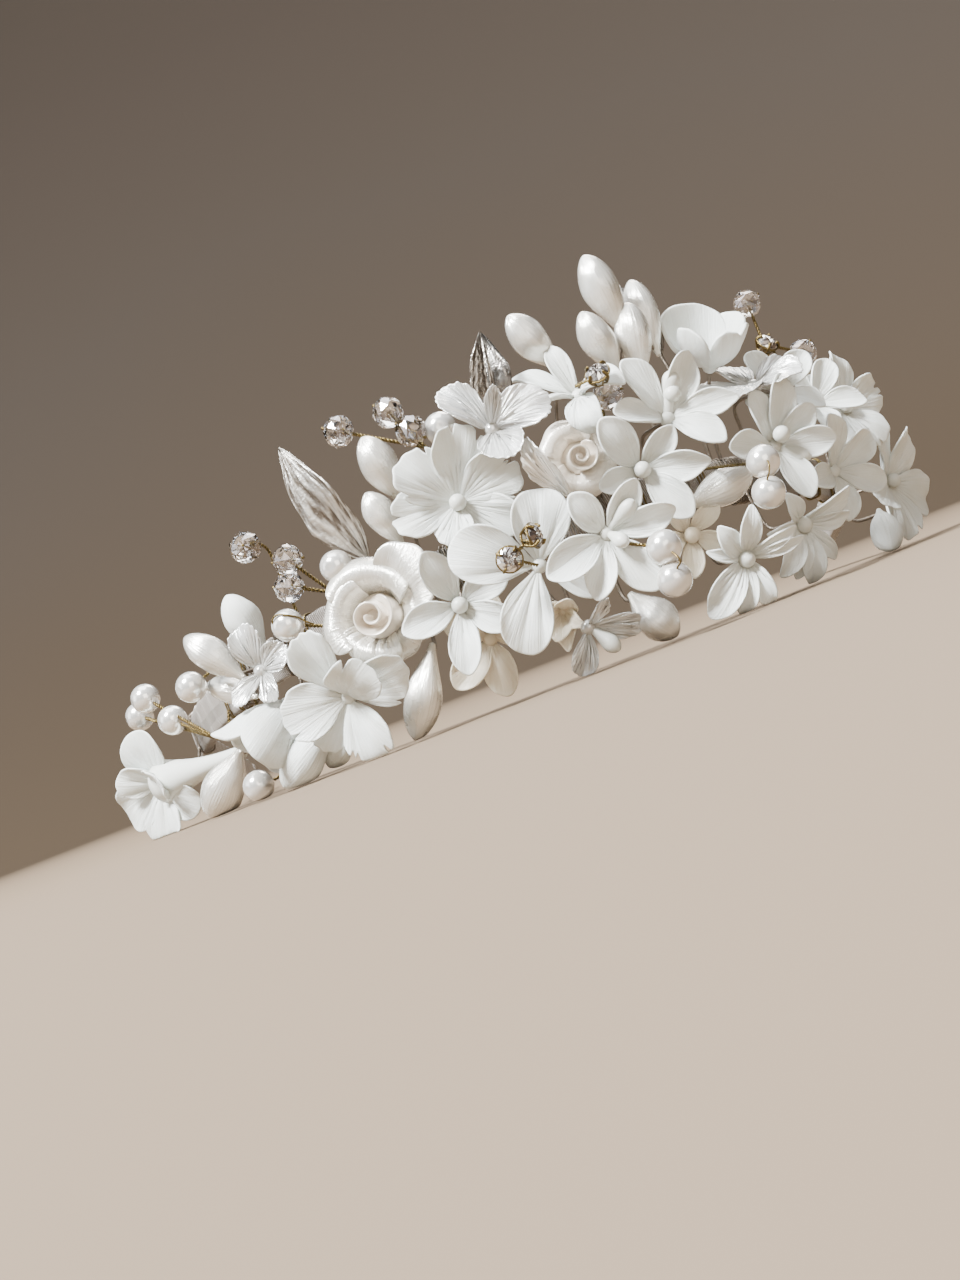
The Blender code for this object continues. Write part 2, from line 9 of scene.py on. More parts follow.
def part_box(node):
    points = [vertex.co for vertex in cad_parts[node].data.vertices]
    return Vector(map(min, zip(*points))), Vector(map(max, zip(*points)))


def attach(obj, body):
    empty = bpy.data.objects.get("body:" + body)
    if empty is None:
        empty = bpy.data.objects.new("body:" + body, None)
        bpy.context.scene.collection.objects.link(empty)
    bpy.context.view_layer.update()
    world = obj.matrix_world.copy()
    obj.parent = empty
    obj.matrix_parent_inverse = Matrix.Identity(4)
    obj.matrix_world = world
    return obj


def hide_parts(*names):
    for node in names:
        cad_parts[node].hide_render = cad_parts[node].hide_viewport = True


# Flower tiara. Shapes are worked out in mm, round the middle of the band's curve, and
# moved onto the frame at the end. Places are given as in the solids: angle round the
# band, out from its middle line, high above the floor.

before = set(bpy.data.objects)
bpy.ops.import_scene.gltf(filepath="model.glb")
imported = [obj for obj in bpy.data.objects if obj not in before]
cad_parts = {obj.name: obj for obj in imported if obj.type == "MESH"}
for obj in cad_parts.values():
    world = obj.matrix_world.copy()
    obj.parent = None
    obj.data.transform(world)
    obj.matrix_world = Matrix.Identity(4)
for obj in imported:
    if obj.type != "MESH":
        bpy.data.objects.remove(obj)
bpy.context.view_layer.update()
print("frame loaded:", len(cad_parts), "nodes")

mm = 0.001
tiara = {
    "bandRadius": 74.0,     # of its half circle, to the band's middle line
    "bandThick": 2.4,
    "bandTall": 8.0,
    "bandFrontHigh": 27.0,  # its middle line above the floor, at the front
    "legLength": 48.0,
    "loopWidth": 8.0,
    "stemLane": 3.2,        # how far out from the middle line stems run along the band
    "seatSpread": 2.5,      # how far above or below the middle line a stem may end
    "besideGap": 0.4,       # from the band to the middle of a stem that ends before it
    "topGap": 0.2,          # and of one that ends on its top
    "pressFrom": 0.8,       # below this height shapes are pressed towards the floor
    "pressTo": 0.05,        # and this is the lowest that they get
}
bandLow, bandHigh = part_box("band")
bandFront = bandLow[1] + mm * (tiara["bandRadius"] + tiara["bandThick"] / 2)
tiara["middle"] = np.array(((bandLow[0] + bandHigh[0]) / 2, bandFront, 0.0))


# Places and directions

def unit(vectors):
    return vectors / np.maximum(np.linalg.norm(vectors, axis=-1, keepdims=True), 1e-9)


def place(angle, out, high):
    reach = tiara["bandRadius"] + out
    return np.array((reach * sin(radians(angle)), -reach * cos(radians(angle)), high))


def direction(angle, lift=0.0):
    level = cos(radians(lift))
    return np.array((level * sin(radians(angle)), -level * cos(radians(angle)), sin(radians(lift))))


def flowerAxes(facing):
    # Upward and sideways directions in the plane that faces that way
    upward = unit(np.array((0.0, 0.0, 1.0)) - facing * facing[2])
    return upward, np.cross(upward, facing)


def bandMiddle(y):
    # The band's middle line falls evenly from the front to the ends of its legs
    fall = (tiara["bandFrontHigh"] - tiara["loopWidth"] / 2) / (tiara["bandRadius"] + tiara["legLength"])
    return tiara["bandFrontHigh"] - (y + tiara["bandRadius"]) * fall


def bandMiddleAt(angle):
    return bandMiddle(-tiara["bandRadius"] * cos(radians(angle)))


# Curves and profiles

def smooth(values):
    # 0 below 0, 1 above 1, and an even S between them
    inside = np.clip(values, 0.0, 1.0)
    return inside * inside * (3 - 2 * inside)


def overlapSteps(turns, edge):
    # A sawtooth: it climbs from 0 to 1 in each turn and drops back in the last edge of it
    step = turns % 1.0
    return step - smooth((step - (1 - edge)) / edge) * step


def closedEnds(share, reach):
    # 1 along a run, and rounded down to 0 over reach at both of its ends
    return np.minimum(1, np.minimum(share, 1 - share) / reach) ** 0.5


def evenTurns(sides):
    return np.arange(sides) * 2 * pi / sides


def circle(radius, sides):
    turn = evenTurns(sides)
    return np.stack((np.cos(turn), np.sin(turn)), -1) * radius


def squaredCircle(turn, corner):
    # Cosine and sine to the power corner, with their signs kept: the smaller, the squarer
    shape = np.stack((np.cos(turn), np.sin(turn)), -1)
    return np.sign(shape) * np.abs(shape) ** corner


def runLengths(path):
    # How far along the path each of its points lies
    return np.concatenate(((0.0,), np.cumsum(np.linalg.norm(np.diff(path, axis=0), axis=1))))


def pointsAlong(path, spots):
    lengths = runLengths(path)
    return np.stack([np.interp(spots, lengths, path[:, k]) for k in range(3)], -1)


def smoothPath(corners, step=0.6, soft=2.5):
    # Points every step along straight runs whose corners are eased by a moving average
    corners = np.asarray(corners, float)
    total = runLengths(corners)[-1]
    count = max(int(total / step), 4)
    dense = pointsAlong(corners, np.linspace(0, total, count + 1))
    reach = max(int(soft / step), 1)
    before = 2 * dense[0] - dense[reach:0:-1]
    after = 2 * dense[-1] - dense[-2:-reach - 2:-1]
    padded = np.vstack((before, dense, after))
    window = np.ones(2 * reach + 1) / (2 * reach + 1)
    return np.stack([np.convolve(padded[:, k], window, "valid") for k in range(3)], -1)


def pathSides(path):
    # Two side directions at each point, which turn as little as they can along the path
    tangents = unit(np.gradient(path, axis=0))
    start = np.array((0.0, 0.0, 1.0)) if abs(tangents[0, 2]) < 0.9 else np.array((0.0, 1.0, 0.0))
    sides = [unit(start - tangents[0] * (start @ tangents[0]))]
    for tangent in tangents[1:]:
        sides.append(unit(sides[-1] - tangent * (sides[-1] @ tangent)))
    sides = np.array(sides)
    return sides, np.cross(tangents, sides)


# Surfaces, each a grid of points

def sweep(path, sideA, sideB, outline, taper=None):
    # A profile carried along a path: each row is the path's point plus the outline's two
    # coordinates along the two side directions. The rows shrink by taper, so that an end
    # with taper 0 is a pole and the surface is closed.
    outline = np.asarray(outline, float)
    if outline.ndim == 2:
        outline = np.broadcast_to(outline, (len(path),) + outline.shape)
    if taper is not None:
        outline = outline * np.asarray(taper)[:, None, None]
    return path[:, None] + sideA[:, None] * outline[..., :1] + sideB[:, None] * outline[..., 1:]


def wireSurface(path, radius, sides=6):
    # A round wire with closed ends: a circle carried along the path
    ends = [0] + list(range(len(path))) + [-1]
    sideA, sideB = pathSides(path)
    taper = np.ones(len(ends))
    taper[[0, -1]] = 0
    return sweep(path[ends], sideA[ends], sideB[ends], circle(radius, sides), taper)


def ballSurface(centre, radius, axis=(0, 0, 1), columns=28, rows=16, dent=0.0):
    # A ball round an axis: at rise t a point lies radius times sin t off the axis and
    # radius times cos t along it. Dent draws in both poles over 0.22 of a radian, as a
    # bead's hole does.
    axis = unit(np.asarray(axis, float))
    first = unit(np.cross(axis, (0.31, 0.87, 0.38)))
    second = np.cross(axis, first)
    rise = np.linspace(0, pi, rows + 1)[:, None]
    turn = evenTurns(columns)[None]
    poles = np.exp(-(rise / 0.22) ** 2) + np.exp(-((pi - rise) / 0.22) ** 2)
    length = radius * (1 - dent * poles)
    around = np.cos(turn)[..., None] * first + np.sin(turn)[..., None] * second
    return centre + length[..., None] * (np.sin(rise)[..., None] * around + np.cos(rise)[..., None] * axis)


# Pieces

meshing = {"weld": 2e-7, "sliver": 1e-8}  # metres: what is joined, and what is too thin to keep


class Piece:
    # Collects closed surfaces in mm and makes one object of them
    def __init__(self, node, *finishes):
        self.node = node
        self.finishes = finishes
        self.points, self.quads, self.flows, self.slots, self.rounds = [], [], [], [], []
        self.count = 0

    def add(self, grid, flow=None, wrap=False, loop=False, finish=0, facets=False):
        # A grid of points, rows by columns; wrap joins its last column to its first and
        # loop its last row to its first. Faces are turned outwards by the signed volume.
        # Finish is a number in the piece's finishes.
        rows, columns = grid.shape[:2]
        index = np.arange(rows * columns).reshape(rows, columns)
        if wrap:
            index = np.hstack((index, index[:, :1]))
        if loop:
            index = np.vstack((index, index[:1]))
        corners = (index[:-1, :-1], index[:-1, 1:], index[1:, 1:], index[1:, :-1])
        quads = np.stack(corners, -1).reshape(-1, 4)
        points = grid.reshape(-1, 3)
        a, b, c, d = np.moveaxis((points - points.mean(0))[quads], 1, 0)
        volume = (np.cross(a, b) * c).sum() + (np.cross(a, c) * d).sum()
        if volume < 0:
            quads = quads[:, ::-1]
        if flow is None:
            flow = np.zeros(3)
        self.quads.append(quads + self.count)
        self.points.append(points)
        self.flows.append(np.broadcast_to(flow, grid.shape).reshape(-1, 3))
        self.slots.append(np.full(len(quads), finish))
        self.rounds.append(np.full(len(quads), not facets))
        self.count += len(points)

    def addTwistedPair(self, path, radius, finish, pitch=1.4):
        # Two strands wound round the path, nine points to a turn: each lies its own radius
        # from it, and they are half a turn apart
        spots = np.arange(0, runLengths(path)[-1], pitch / 9)
        fine = pointsAlong(path, spots)
        sideA, sideB = pathSides(fine)
        for half in (0, pi):
            turn = (spots * 2 * pi / pitch + half)[:, None]
            strand = fine + radius * (np.cos(turn) * sideA + np.sin(turn) * sideB)
            self.add(wireSurface(strand, radius, 5), wrap=True, finish=finish)

    def pressedPoints(self):
        # What would go through the floor is pressed flat just above it
        points = np.vstack(self.points)
        low = points[:, 2] < tiara["pressFrom"]
        span = tiara["pressFrom"] - tiara["pressTo"]
        points[low, 2] = tiara["pressTo"] + span * np.exp((points[low, 2] - tiara["pressFrom"]) / span)
        return points * mm + tiara["middle"]

    def build(self):
        points = self.pressedPoints()
        quads = np.vstack(self.quads)
        words = self.node.split("_")
        name = words[0] + "".join(word.title() for word in words[1:]) + "Form"
        mesh = bpy.data.meshes.new(name)
        mesh.vertices.add(len(points))
        mesh.vertices.foreach_set("co", points.ravel())
        mesh.loops.add(quads.size)
        mesh.loops.foreach_set("vertex_index", quads.ravel())
        mesh.polygons.add(len(quads))
        mesh.polygons.foreach_set("loop_start", np.arange(0, quads.size, 4))
        mesh.polygons.foreach_set("use_smooth", np.concatenate(self.rounds))
        mesh.polygons.foreach_set("material_index", np.concatenate(self.slots))
        flow = mesh.attributes.new("flow", "FLOAT_VECTOR", "POINT")
        flow.data.foreach_set("vector", np.vstack(self.flows).ravel())
        mesh.update(calc_edges=True)
        for finish in self.finishes:
            mesh.materials.append(finish.material)
        closed = bmesh.new()
        closed.from_mesh(mesh)
        bmesh.ops.remove_doubles(closed, verts=closed.verts, dist=meshing["weld"])
        bmesh.ops.dissolve_degenerate(closed, edges=closed.edges, dist=meshing["sliver"])
        closed.to_mesh(mesh)
        closed.free()
        thing = bpy.data.objects.new(name, mesh)
        bpy.context.scene.collection.objects.link(thing)
        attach(thing, "root")
        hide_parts(self.node)


# Materials

class Signal:
    # A node's output; arithmetic on it adds Math nodes
    def __init__(self, nodes, socket):
        self.nodes = nodes
        self.socket = socket

    def maths(self, operation, other):
        return self.nodes.add("ShaderNodeMath", {"operation": operation}, {0: self, 1: other})

    def __add__(self, other):
        return self.maths("ADD", other)

    def __mul__(self, other):
        return self.maths("MULTIPLY", other)

    __radd__ = __add__
    __rmul__ = __mul__


class Nodes:
    # One node tree, and a method that adds any node to it: its type, its settings, and the
    # values or signals of its sockets
    def __init__(self, tree):
        self.tree = tree

    def add(self, kind, settings=None, values=None, output=0):
        node = self.tree.nodes.new(kind)
        for key, value in (settings or {}).items():
            if key == "stops":
                elements = node.color_ramp.elements
                for spot, tone in value[2:]:
                    elements.new(spot)
                for element, (spot, tone) in zip(elements, value):
                    element.position = spot
                    element.color = tone
            else:
                setattr(node, key, value)
        for key, value in (values or {}).items():
            if isinstance(value, Signal):
                self.tree.links.new(value.socket, node.inputs[key])
            else:
                node.inputs[key].default_value = value
        return Signal(self, node.outputs[output])

    def parts(self, vector):
        x = self.add("ShaderNodeSeparateXYZ", values={0: vector})
        return [Signal(self, socket) for socket in x.socket.node.outputs]


class Finish(Nodes):
    # One material: its Principled shader, with fixed values on the sockets that are named
    def __init__(self, name, fixed):
        self.material = bpy.data.materials.new(name)
        self.material.use_nodes = True
        super().__init__(self.material.node_tree)
        self.shader = self.tree.nodes["Principled BSDF"]
        for socket, value in fixed.items():
            self.shader.inputs[socket].default_value = value

    def feed(self, socket, signal):
        self.tree.links.new(signal.socket, self.shader.inputs[socket])

    def spots(self):
        return self.add("ShaderNodeTexCoord", output="Object")

    def flow(self):
        # The surface's own three numbers: for most, mm from the root, mm across and a seed
        return self.parts(self.add("ShaderNodeAttribute", {"attribute_name": "flow"}, output="Vector"))

    def joined(self, x, y, z):
        return self.add("ShaderNodeCombineXYZ", values={0: x, 1: y, 2: z})

    def noise(self, vector, scale, detail=3.0, rough=0.5):
        sockets = {"Vector": vector, "Scale": scale, "Detail": detail, "Roughness": rough}
        return self.add("ShaderNodeTexNoise", values=sockets)

    def mix(self, share, first, second):
        return self.add("ShaderNodeMix", {"data_type": "RGBA"}, {0: share, 6: first, 7: second}, output=2)

    def range(self, signal, fromLow, fromHigh, toLow=0.0, toHigh=1.0):
        limits = {0: signal, 1: fromLow, 2: fromHigh, 3: toLow, 4: toHigh}
        return self.add("ShaderNodeMapRange", values=limits)

    def bump(self, height, strength, distance):
        sockets = {"Height": height, "Strength": strength, "Distance": distance}
        return self.add("ShaderNodeBump", values=sockets)


def colour(red, green, blue):
    return (red, green, blue, 1.0)


noiseSpan = (0.3, 0.7)  # where nearly all of a noise's values lie
clayMarks = {
    "strokeAlong": 0.09,    # strokes per mm along a petal
    "strokeAcross": 2.2,    # and across it
    "cloudScale": 160.0,
    "grainScale": 2600.0,
    "grain": 0.10,
    "paintedRootShade": 0.45,       # how much painted shade deepens the colour at the root
    "rootReach": (0.5, 5.0),
}


def clayFinish(name, light, deep, roughness, streaks, fixed):
    # Clay: the colour drifts between two near tones, and painted shade deepens it towards the
    # petal's root, where the petals meet; surfaces with no flow take that painted shade all over.
    # Fine strokes run along each petal, and the surface has a faint grain
    finish = Finish(name, fixed)
    along, across, seed = finish.flow()
    strokes = finish.joined(along * clayMarks["strokeAlong"], across * clayMarks["strokeAcross"], seed)
    stroke = finish.noise(strokes, scale=1.0, detail=4.0, rough=0.65)
    cloud = finish.noise(finish.spots(), scale=clayMarks["cloudScale"])
    grain = finish.noise(finish.spots(), scale=clayMarks["grainScale"], detail=2.0)
    # Painted shade: the colour deepens within a few mm of the root, in the flower's middle
    depth = finish.range(along, *clayMarks["rootReach"], clayMarks["paintedRootShade"], 0.0)
    tone = finish.range(cloud + stroke * (0.35 + 0.25 * streaks) + depth, 0.55, 1.15)
    finish.feed("Base Color", finish.mix(tone, light, deep))
    finish.feed("Roughness", finish.range(cloud, *noiseSpan, roughness - 0.06, roughness + 0.08))
    relief = stroke * streaks + grain * clayMarks["grain"]
    finish.feed("Normal", finish.bump(relief, strength=0.5, distance=0.0005))
    return finish


def pearlFinish(name, light, deep, fixed):
    # Pearl: a bright skin whose tone drifts a little, under a clear gloss
    finish = Finish(name, fixed)
    cloud = finish.noise(finish.spots(), scale=300.0)
    finish.feed("Base Color", finish.mix(finish.range(cloud, 0.35, 0.65), light, deep))
    finish.feed("Roughness", finish.range(cloud, *noiseSpan, 0.15, 0.25))
    finish.feed("Normal", finish.bump(cloud, strength=0.15, distance=0.0001))
    return finish


def glassFinish(name, light, tint, fixed):
    # Cut glass: part clear and part mirror, as its facets throw the light back. Each facet is
    # painted at random between the light tone and the tint, by noise over the face's direction:
    # painted dark and bright facet reflections, on the crystals also a faint lilac coating. A
    # thin film gives the blue and lilac glints
    finish = Finish(name, fixed)
    cloud = finish.noise(finish.spots(), scale=500.0, detail=2.0)
    normal = finish.add("ShaderNodeNewGeometry", output="True Normal")
    facetPaintedReflection = finish.noise(normal, scale=2.6, detail=0.0)
    tone = finish.range(facetPaintedReflection + cloud * 0.04, 0.47, 0.57)
    finish.feed("Base Color", finish.mix(tone, light, tint))
    finish.feed("Roughness", finish.range(cloud, *noiseSpan, 0.0, 0.04))
    return finish


def metalFinish(name, bright, dark, roughness, scale):
    # Aged metal: dark in the hollows that flow marks, partly patina and partly painted shade,
    # and in drifting patches; bright elsewhere
    finish = Finish(name, {"Metallic": 1.0})
    hollow = finish.flow()[2]
    patch = finish.noise(finish.spots(), scale, detail=5.0, rough=0.6)
    grain = finish.noise(finish.spots(), scale * 3, detail=4.0, rough=0.6)
    finish.feed("Base Color", finish.mix(finish.range(patch * 0.8 + hollow, 0.35, 0.95), bright, dark))
    finish.feed("Roughness", finish.range(patch, *noiseSpan, roughness - 0.08, roughness + 0.12))
    finish.feed("Normal", finish.bump(grain, strength=0.6, distance=0.0003))
    return finish


def ribbonFinish(name, dark, silver, worn, threads):
    # Wound ribbon: fine threads lie side by side along each winding, dark between silver,
    # and each winding is a little more or less worn than the next
    finish = Finish(name, {"Metallic": 0.35, "Specular IOR Level": 0.5})
    winding = finish.flow()[0]
    stripe = finish.add("ShaderNodeMath", {"operation": "SINE"}, {0: winding * (2 * pi * threads)})
    thread = finish.range(stripe, -1.0, 1.0)
    whole = finish.add("ShaderNodeMath", {"operation": "FLOOR"}, {0: winding})
    shade = finish.add("ShaderNodeTexWhiteNoise", {"noise_dimensions": "1D"}, {"W": whole})
    patch = finish.noise(finish.spots(), scale=220.0, detail=4.0)
    wear = finish.range(patch + shade * 0.3, 0.4, 1.1, 0.0, 0.75)
    finish.feed("Base Color", finish.mix(wear, finish.mix(thread, dark, silver), worn))
    finish.feed("Roughness", finish.range(thread, 0.0, 1.0, 0.6, 0.38))
    finish.feed("Normal", finish.bump(thread, strength=0.8, distance=0.0002))
    return finish


matteClay = clayFinish("matteClay", light=colour(0.72, 0.755, 0.74), deep=colour(0.59, 0.60, 0.555),
                       roughness=0.40, streaks=1.0, fixed={
                           "Subsurface Weight": 0.06, "Subsurface Radius": (0.0016, 0.0013, 0.0010),
                           "Subsurface Scale": 1.0, "Specular IOR Level": 0.5})
creamClay = clayFinish("creamClay", light=colour(0.82, 0.765, 0.645), deep=colour(0.70, 0.62, 0.485),
                       roughness=0.42, streaks=1.0, fixed={
                           "Subsurface Weight": 0.08, "Subsurface Radius": (0.002, 0.0014, 0.0009),
                           "Subsurface Scale": 1.0})
pearlClay = clayFinish("pearlClay", light=colour(0.84, 0.825, 0.78), deep=colour(0.58, 0.55, 0.48),
                       roughness=0.24, streaks=1.0, fixed={
                           "Metallic": 0.55, "Coat Weight": 1.0, "Coat Roughness": 0.10,
                           "Specular IOR Level": 0.9})
creamPearlClay = clayFinish("creamPearlClay", light=colour(0.88, 0.83, 0.75), deep=colour(0.76, 0.69, 0.60),
                            roughness=0.32, streaks=1.2, fixed={
                                "Metallic": 0.25, "Coat Weight": 0.7, "Coat Roughness": 0.16,
                                "Specular IOR Level": 0.8})
veinedClay = clayFinish("veinedClay", light=colour(0.87, 0.88, 0.875), deep=colour(0.52, 0.515, 0.49),
                        roughness=0.17, streaks=2.0, fixed={
                            "Transmission Weight": 0.12, "Metallic": 0.34, "IOR": 1.5, "Coat Weight": 1.0,
                            "Coat Roughness": 0.06, "Specular IOR Level": 1.0})
pearlLustre = pearlFinish("pearlLustre", light=colour(0.83, 0.81, 0.77), deep=colour(0.70, 0.68, 0.65),
                          fixed={
                              "Metallic": 0.55, "Coat Weight": 1.0, "Coat Roughness": 0.03,
                              "Specular IOR Level": 1.0})
clearCrystal = glassFinish("clearCrystal", light=colour(1.0, 1.0, 1.0), tint=colour(0.80, 0.80, 0.86),
                           fixed={
                               "Transmission Weight": 1.0, "Metallic": 0.12, "IOR": 1.60,
                               "Thin Film Thickness": 160.0, "Thin Film IOR": 1.7, "Specular IOR Level": 0.8})
# The stone's dark tint is painted reflection: it paints some facets dark
clearStone = glassFinish("clearStone", light=colour(0.97, 0.95, 0.93), tint=colour(0.15, 0.12, 0.11),
                         fixed={
                             "Transmission Weight": 0.45, "Metallic": 0.70, "IOR": 1.9,
                             "Thin Film Thickness": 0.0, "Thin Film IOR": 1.7, "Specular IOR Level": 0.8})
agedGold = metalFinish("agedGold", bright=colour(0.16, 0.115, 0.045), dark=colour(0.034, 0.024, 0.011),
                       roughness=0.36, scale=900.0)
agedSilver = metalFinish("agedSilver", bright=colour(0.62, 0.60, 0.56), dark=colour(0.13, 0.11, 0.092),
                         roughness=0.42, scale=420.0)
# A darker copy of the same silver: painted shade for the leaves that stand back among the buds
shadedSilver = metalFinish("shadedSilver", bright=colour(0.34, 0.32, 0.295), dark=colour(0.065, 0.055, 0.047),
                         roughness=0.25, scale=300.0)
stemWire = metalFinish("stemWire", bright=colour(0.22, 0.185, 0.15), dark=colour(0.085, 0.07, 0.055),
                       roughness=0.45, scale=900.0)
woundRibbon = ribbonFinish("woundRibbon", dark=colour(0.15, 0.122, 0.105), silver=colour(0.50, 0.47, 0.43),
                           worn=colour(0.27, 0.235, 0.21), threads=11)
print("materials made")


# Petals

petalGrid = {"top": 15, "rim": 7, "under": 8, "steps": 90, "beyond": 1.3}

petalBase = {
    "outward": 0.35,   # mm from the flower's axis to the root
    "spread": 40,      # half angle of the fan
    "round": 0.4,      # how squarely it ends, 0 a sector
    "point": 0.0,      # how far its tip stands out
    "rise": 30,        # slope in degrees at the root
    "tip": 0,          # and at the tip
    "curl": -20,       # and what is added to it from bendAt on
    "bendAt": 0.60,
    "cup": 30,         # degrees bent across each half
    "fold": 0.0,       # a V along the midrib
    "lip": 0.0,        # mm turned up at the rim
    "turn": 10,        # degrees that the petal is turned about its own length
    "claw": 0.10,      # how much narrower it is near its root
    "sink": 0.0,       # mm that a wrapped petal stands lower than the others
    "grooves": 3,      # fine lines pressed from the root, and how deep they are
    "depth": 0.05,
    "flutes": 2,       # broad folds, and how high they are
    "flute": 0.08,
    "waves": 2,        # the same at the rim
    "wave": 0.2,
    "scallops": 1,     # dents in the rim, and how deep they are
    "scallop": 0.0,
    "slits": 0,        # short cuts in the rim
    "thick": 0.75,
    "columns": 49,
}
petalForms = {
    # A form with wrap is bent round the flower's axis, that many mm from it at its root
    "star": dict(spread=34, round=0.48, point=0.05, rise=34, tip=6, curl=-10, cup=46, fold=0.20, lip=0.30,
                 turn=9, claw=0.20, depth=0.08, flute=0.05, wave=0.22, waves=1, columns=35),
    "ruffle": dict(spread=43, round=0.27, rise=28, tip=6, curl=-14, cup=20, fold=0.06, lip=0.08, turn=12,
                   grooves=7, depth=0.13, flutes=3, flute=0.13, wave=0.50, scallops=3, scallop=0.012,
                   slits=2, thick=0.85, columns=61),
    "broad": dict(rise=28, tip=-8, cup=38, lip=0.10, turn=5, claw=0.15, depth=0.42, flute=0.16, thick=0.85),
    "lily": dict(spread=21, round=0.52, point=0.12, rise=56, tip=-14, curl=-26, cup=34, fold=0.24, lip=0.12,
                 depth=0.14, flute=0.10, waves=1, thick=0.7, columns=33),
    "cup": dict(spread=42, round=0.42, point=0.06, rise=74, tip=46, curl=-24, cup=56, lip=0.16, turn=12,
                grooves=4, depth=0.08, waves=1, wave=0.25, columns=39),
    "pearly": dict(spread=44, round=0.34, point=0.03, tip=2, rise=40, cup=26, fold=0.10, lip=0.20, turn=12,
                   grooves=10, depth=-0.34, flutes=3, flute=0.16, wave=0.45, scallops=6, scallop=0.014,
                   thick=0.5, columns=71),
    "rose": dict(spread=66, round=0.22, rise=58, tip=84, curl=-150, bendAt=0.42, wrap=2.0, outward=0.0,
                 wave=0.35, scallops=2, scallop=0.01, thick=1.0, columns=57),
    "bell": dict(spread=56, round=0.20, rise=12, tip=100, wrap=0.3, outward=0.0, flute=0.06, scallops=2,
                 scallop=0.004),
}


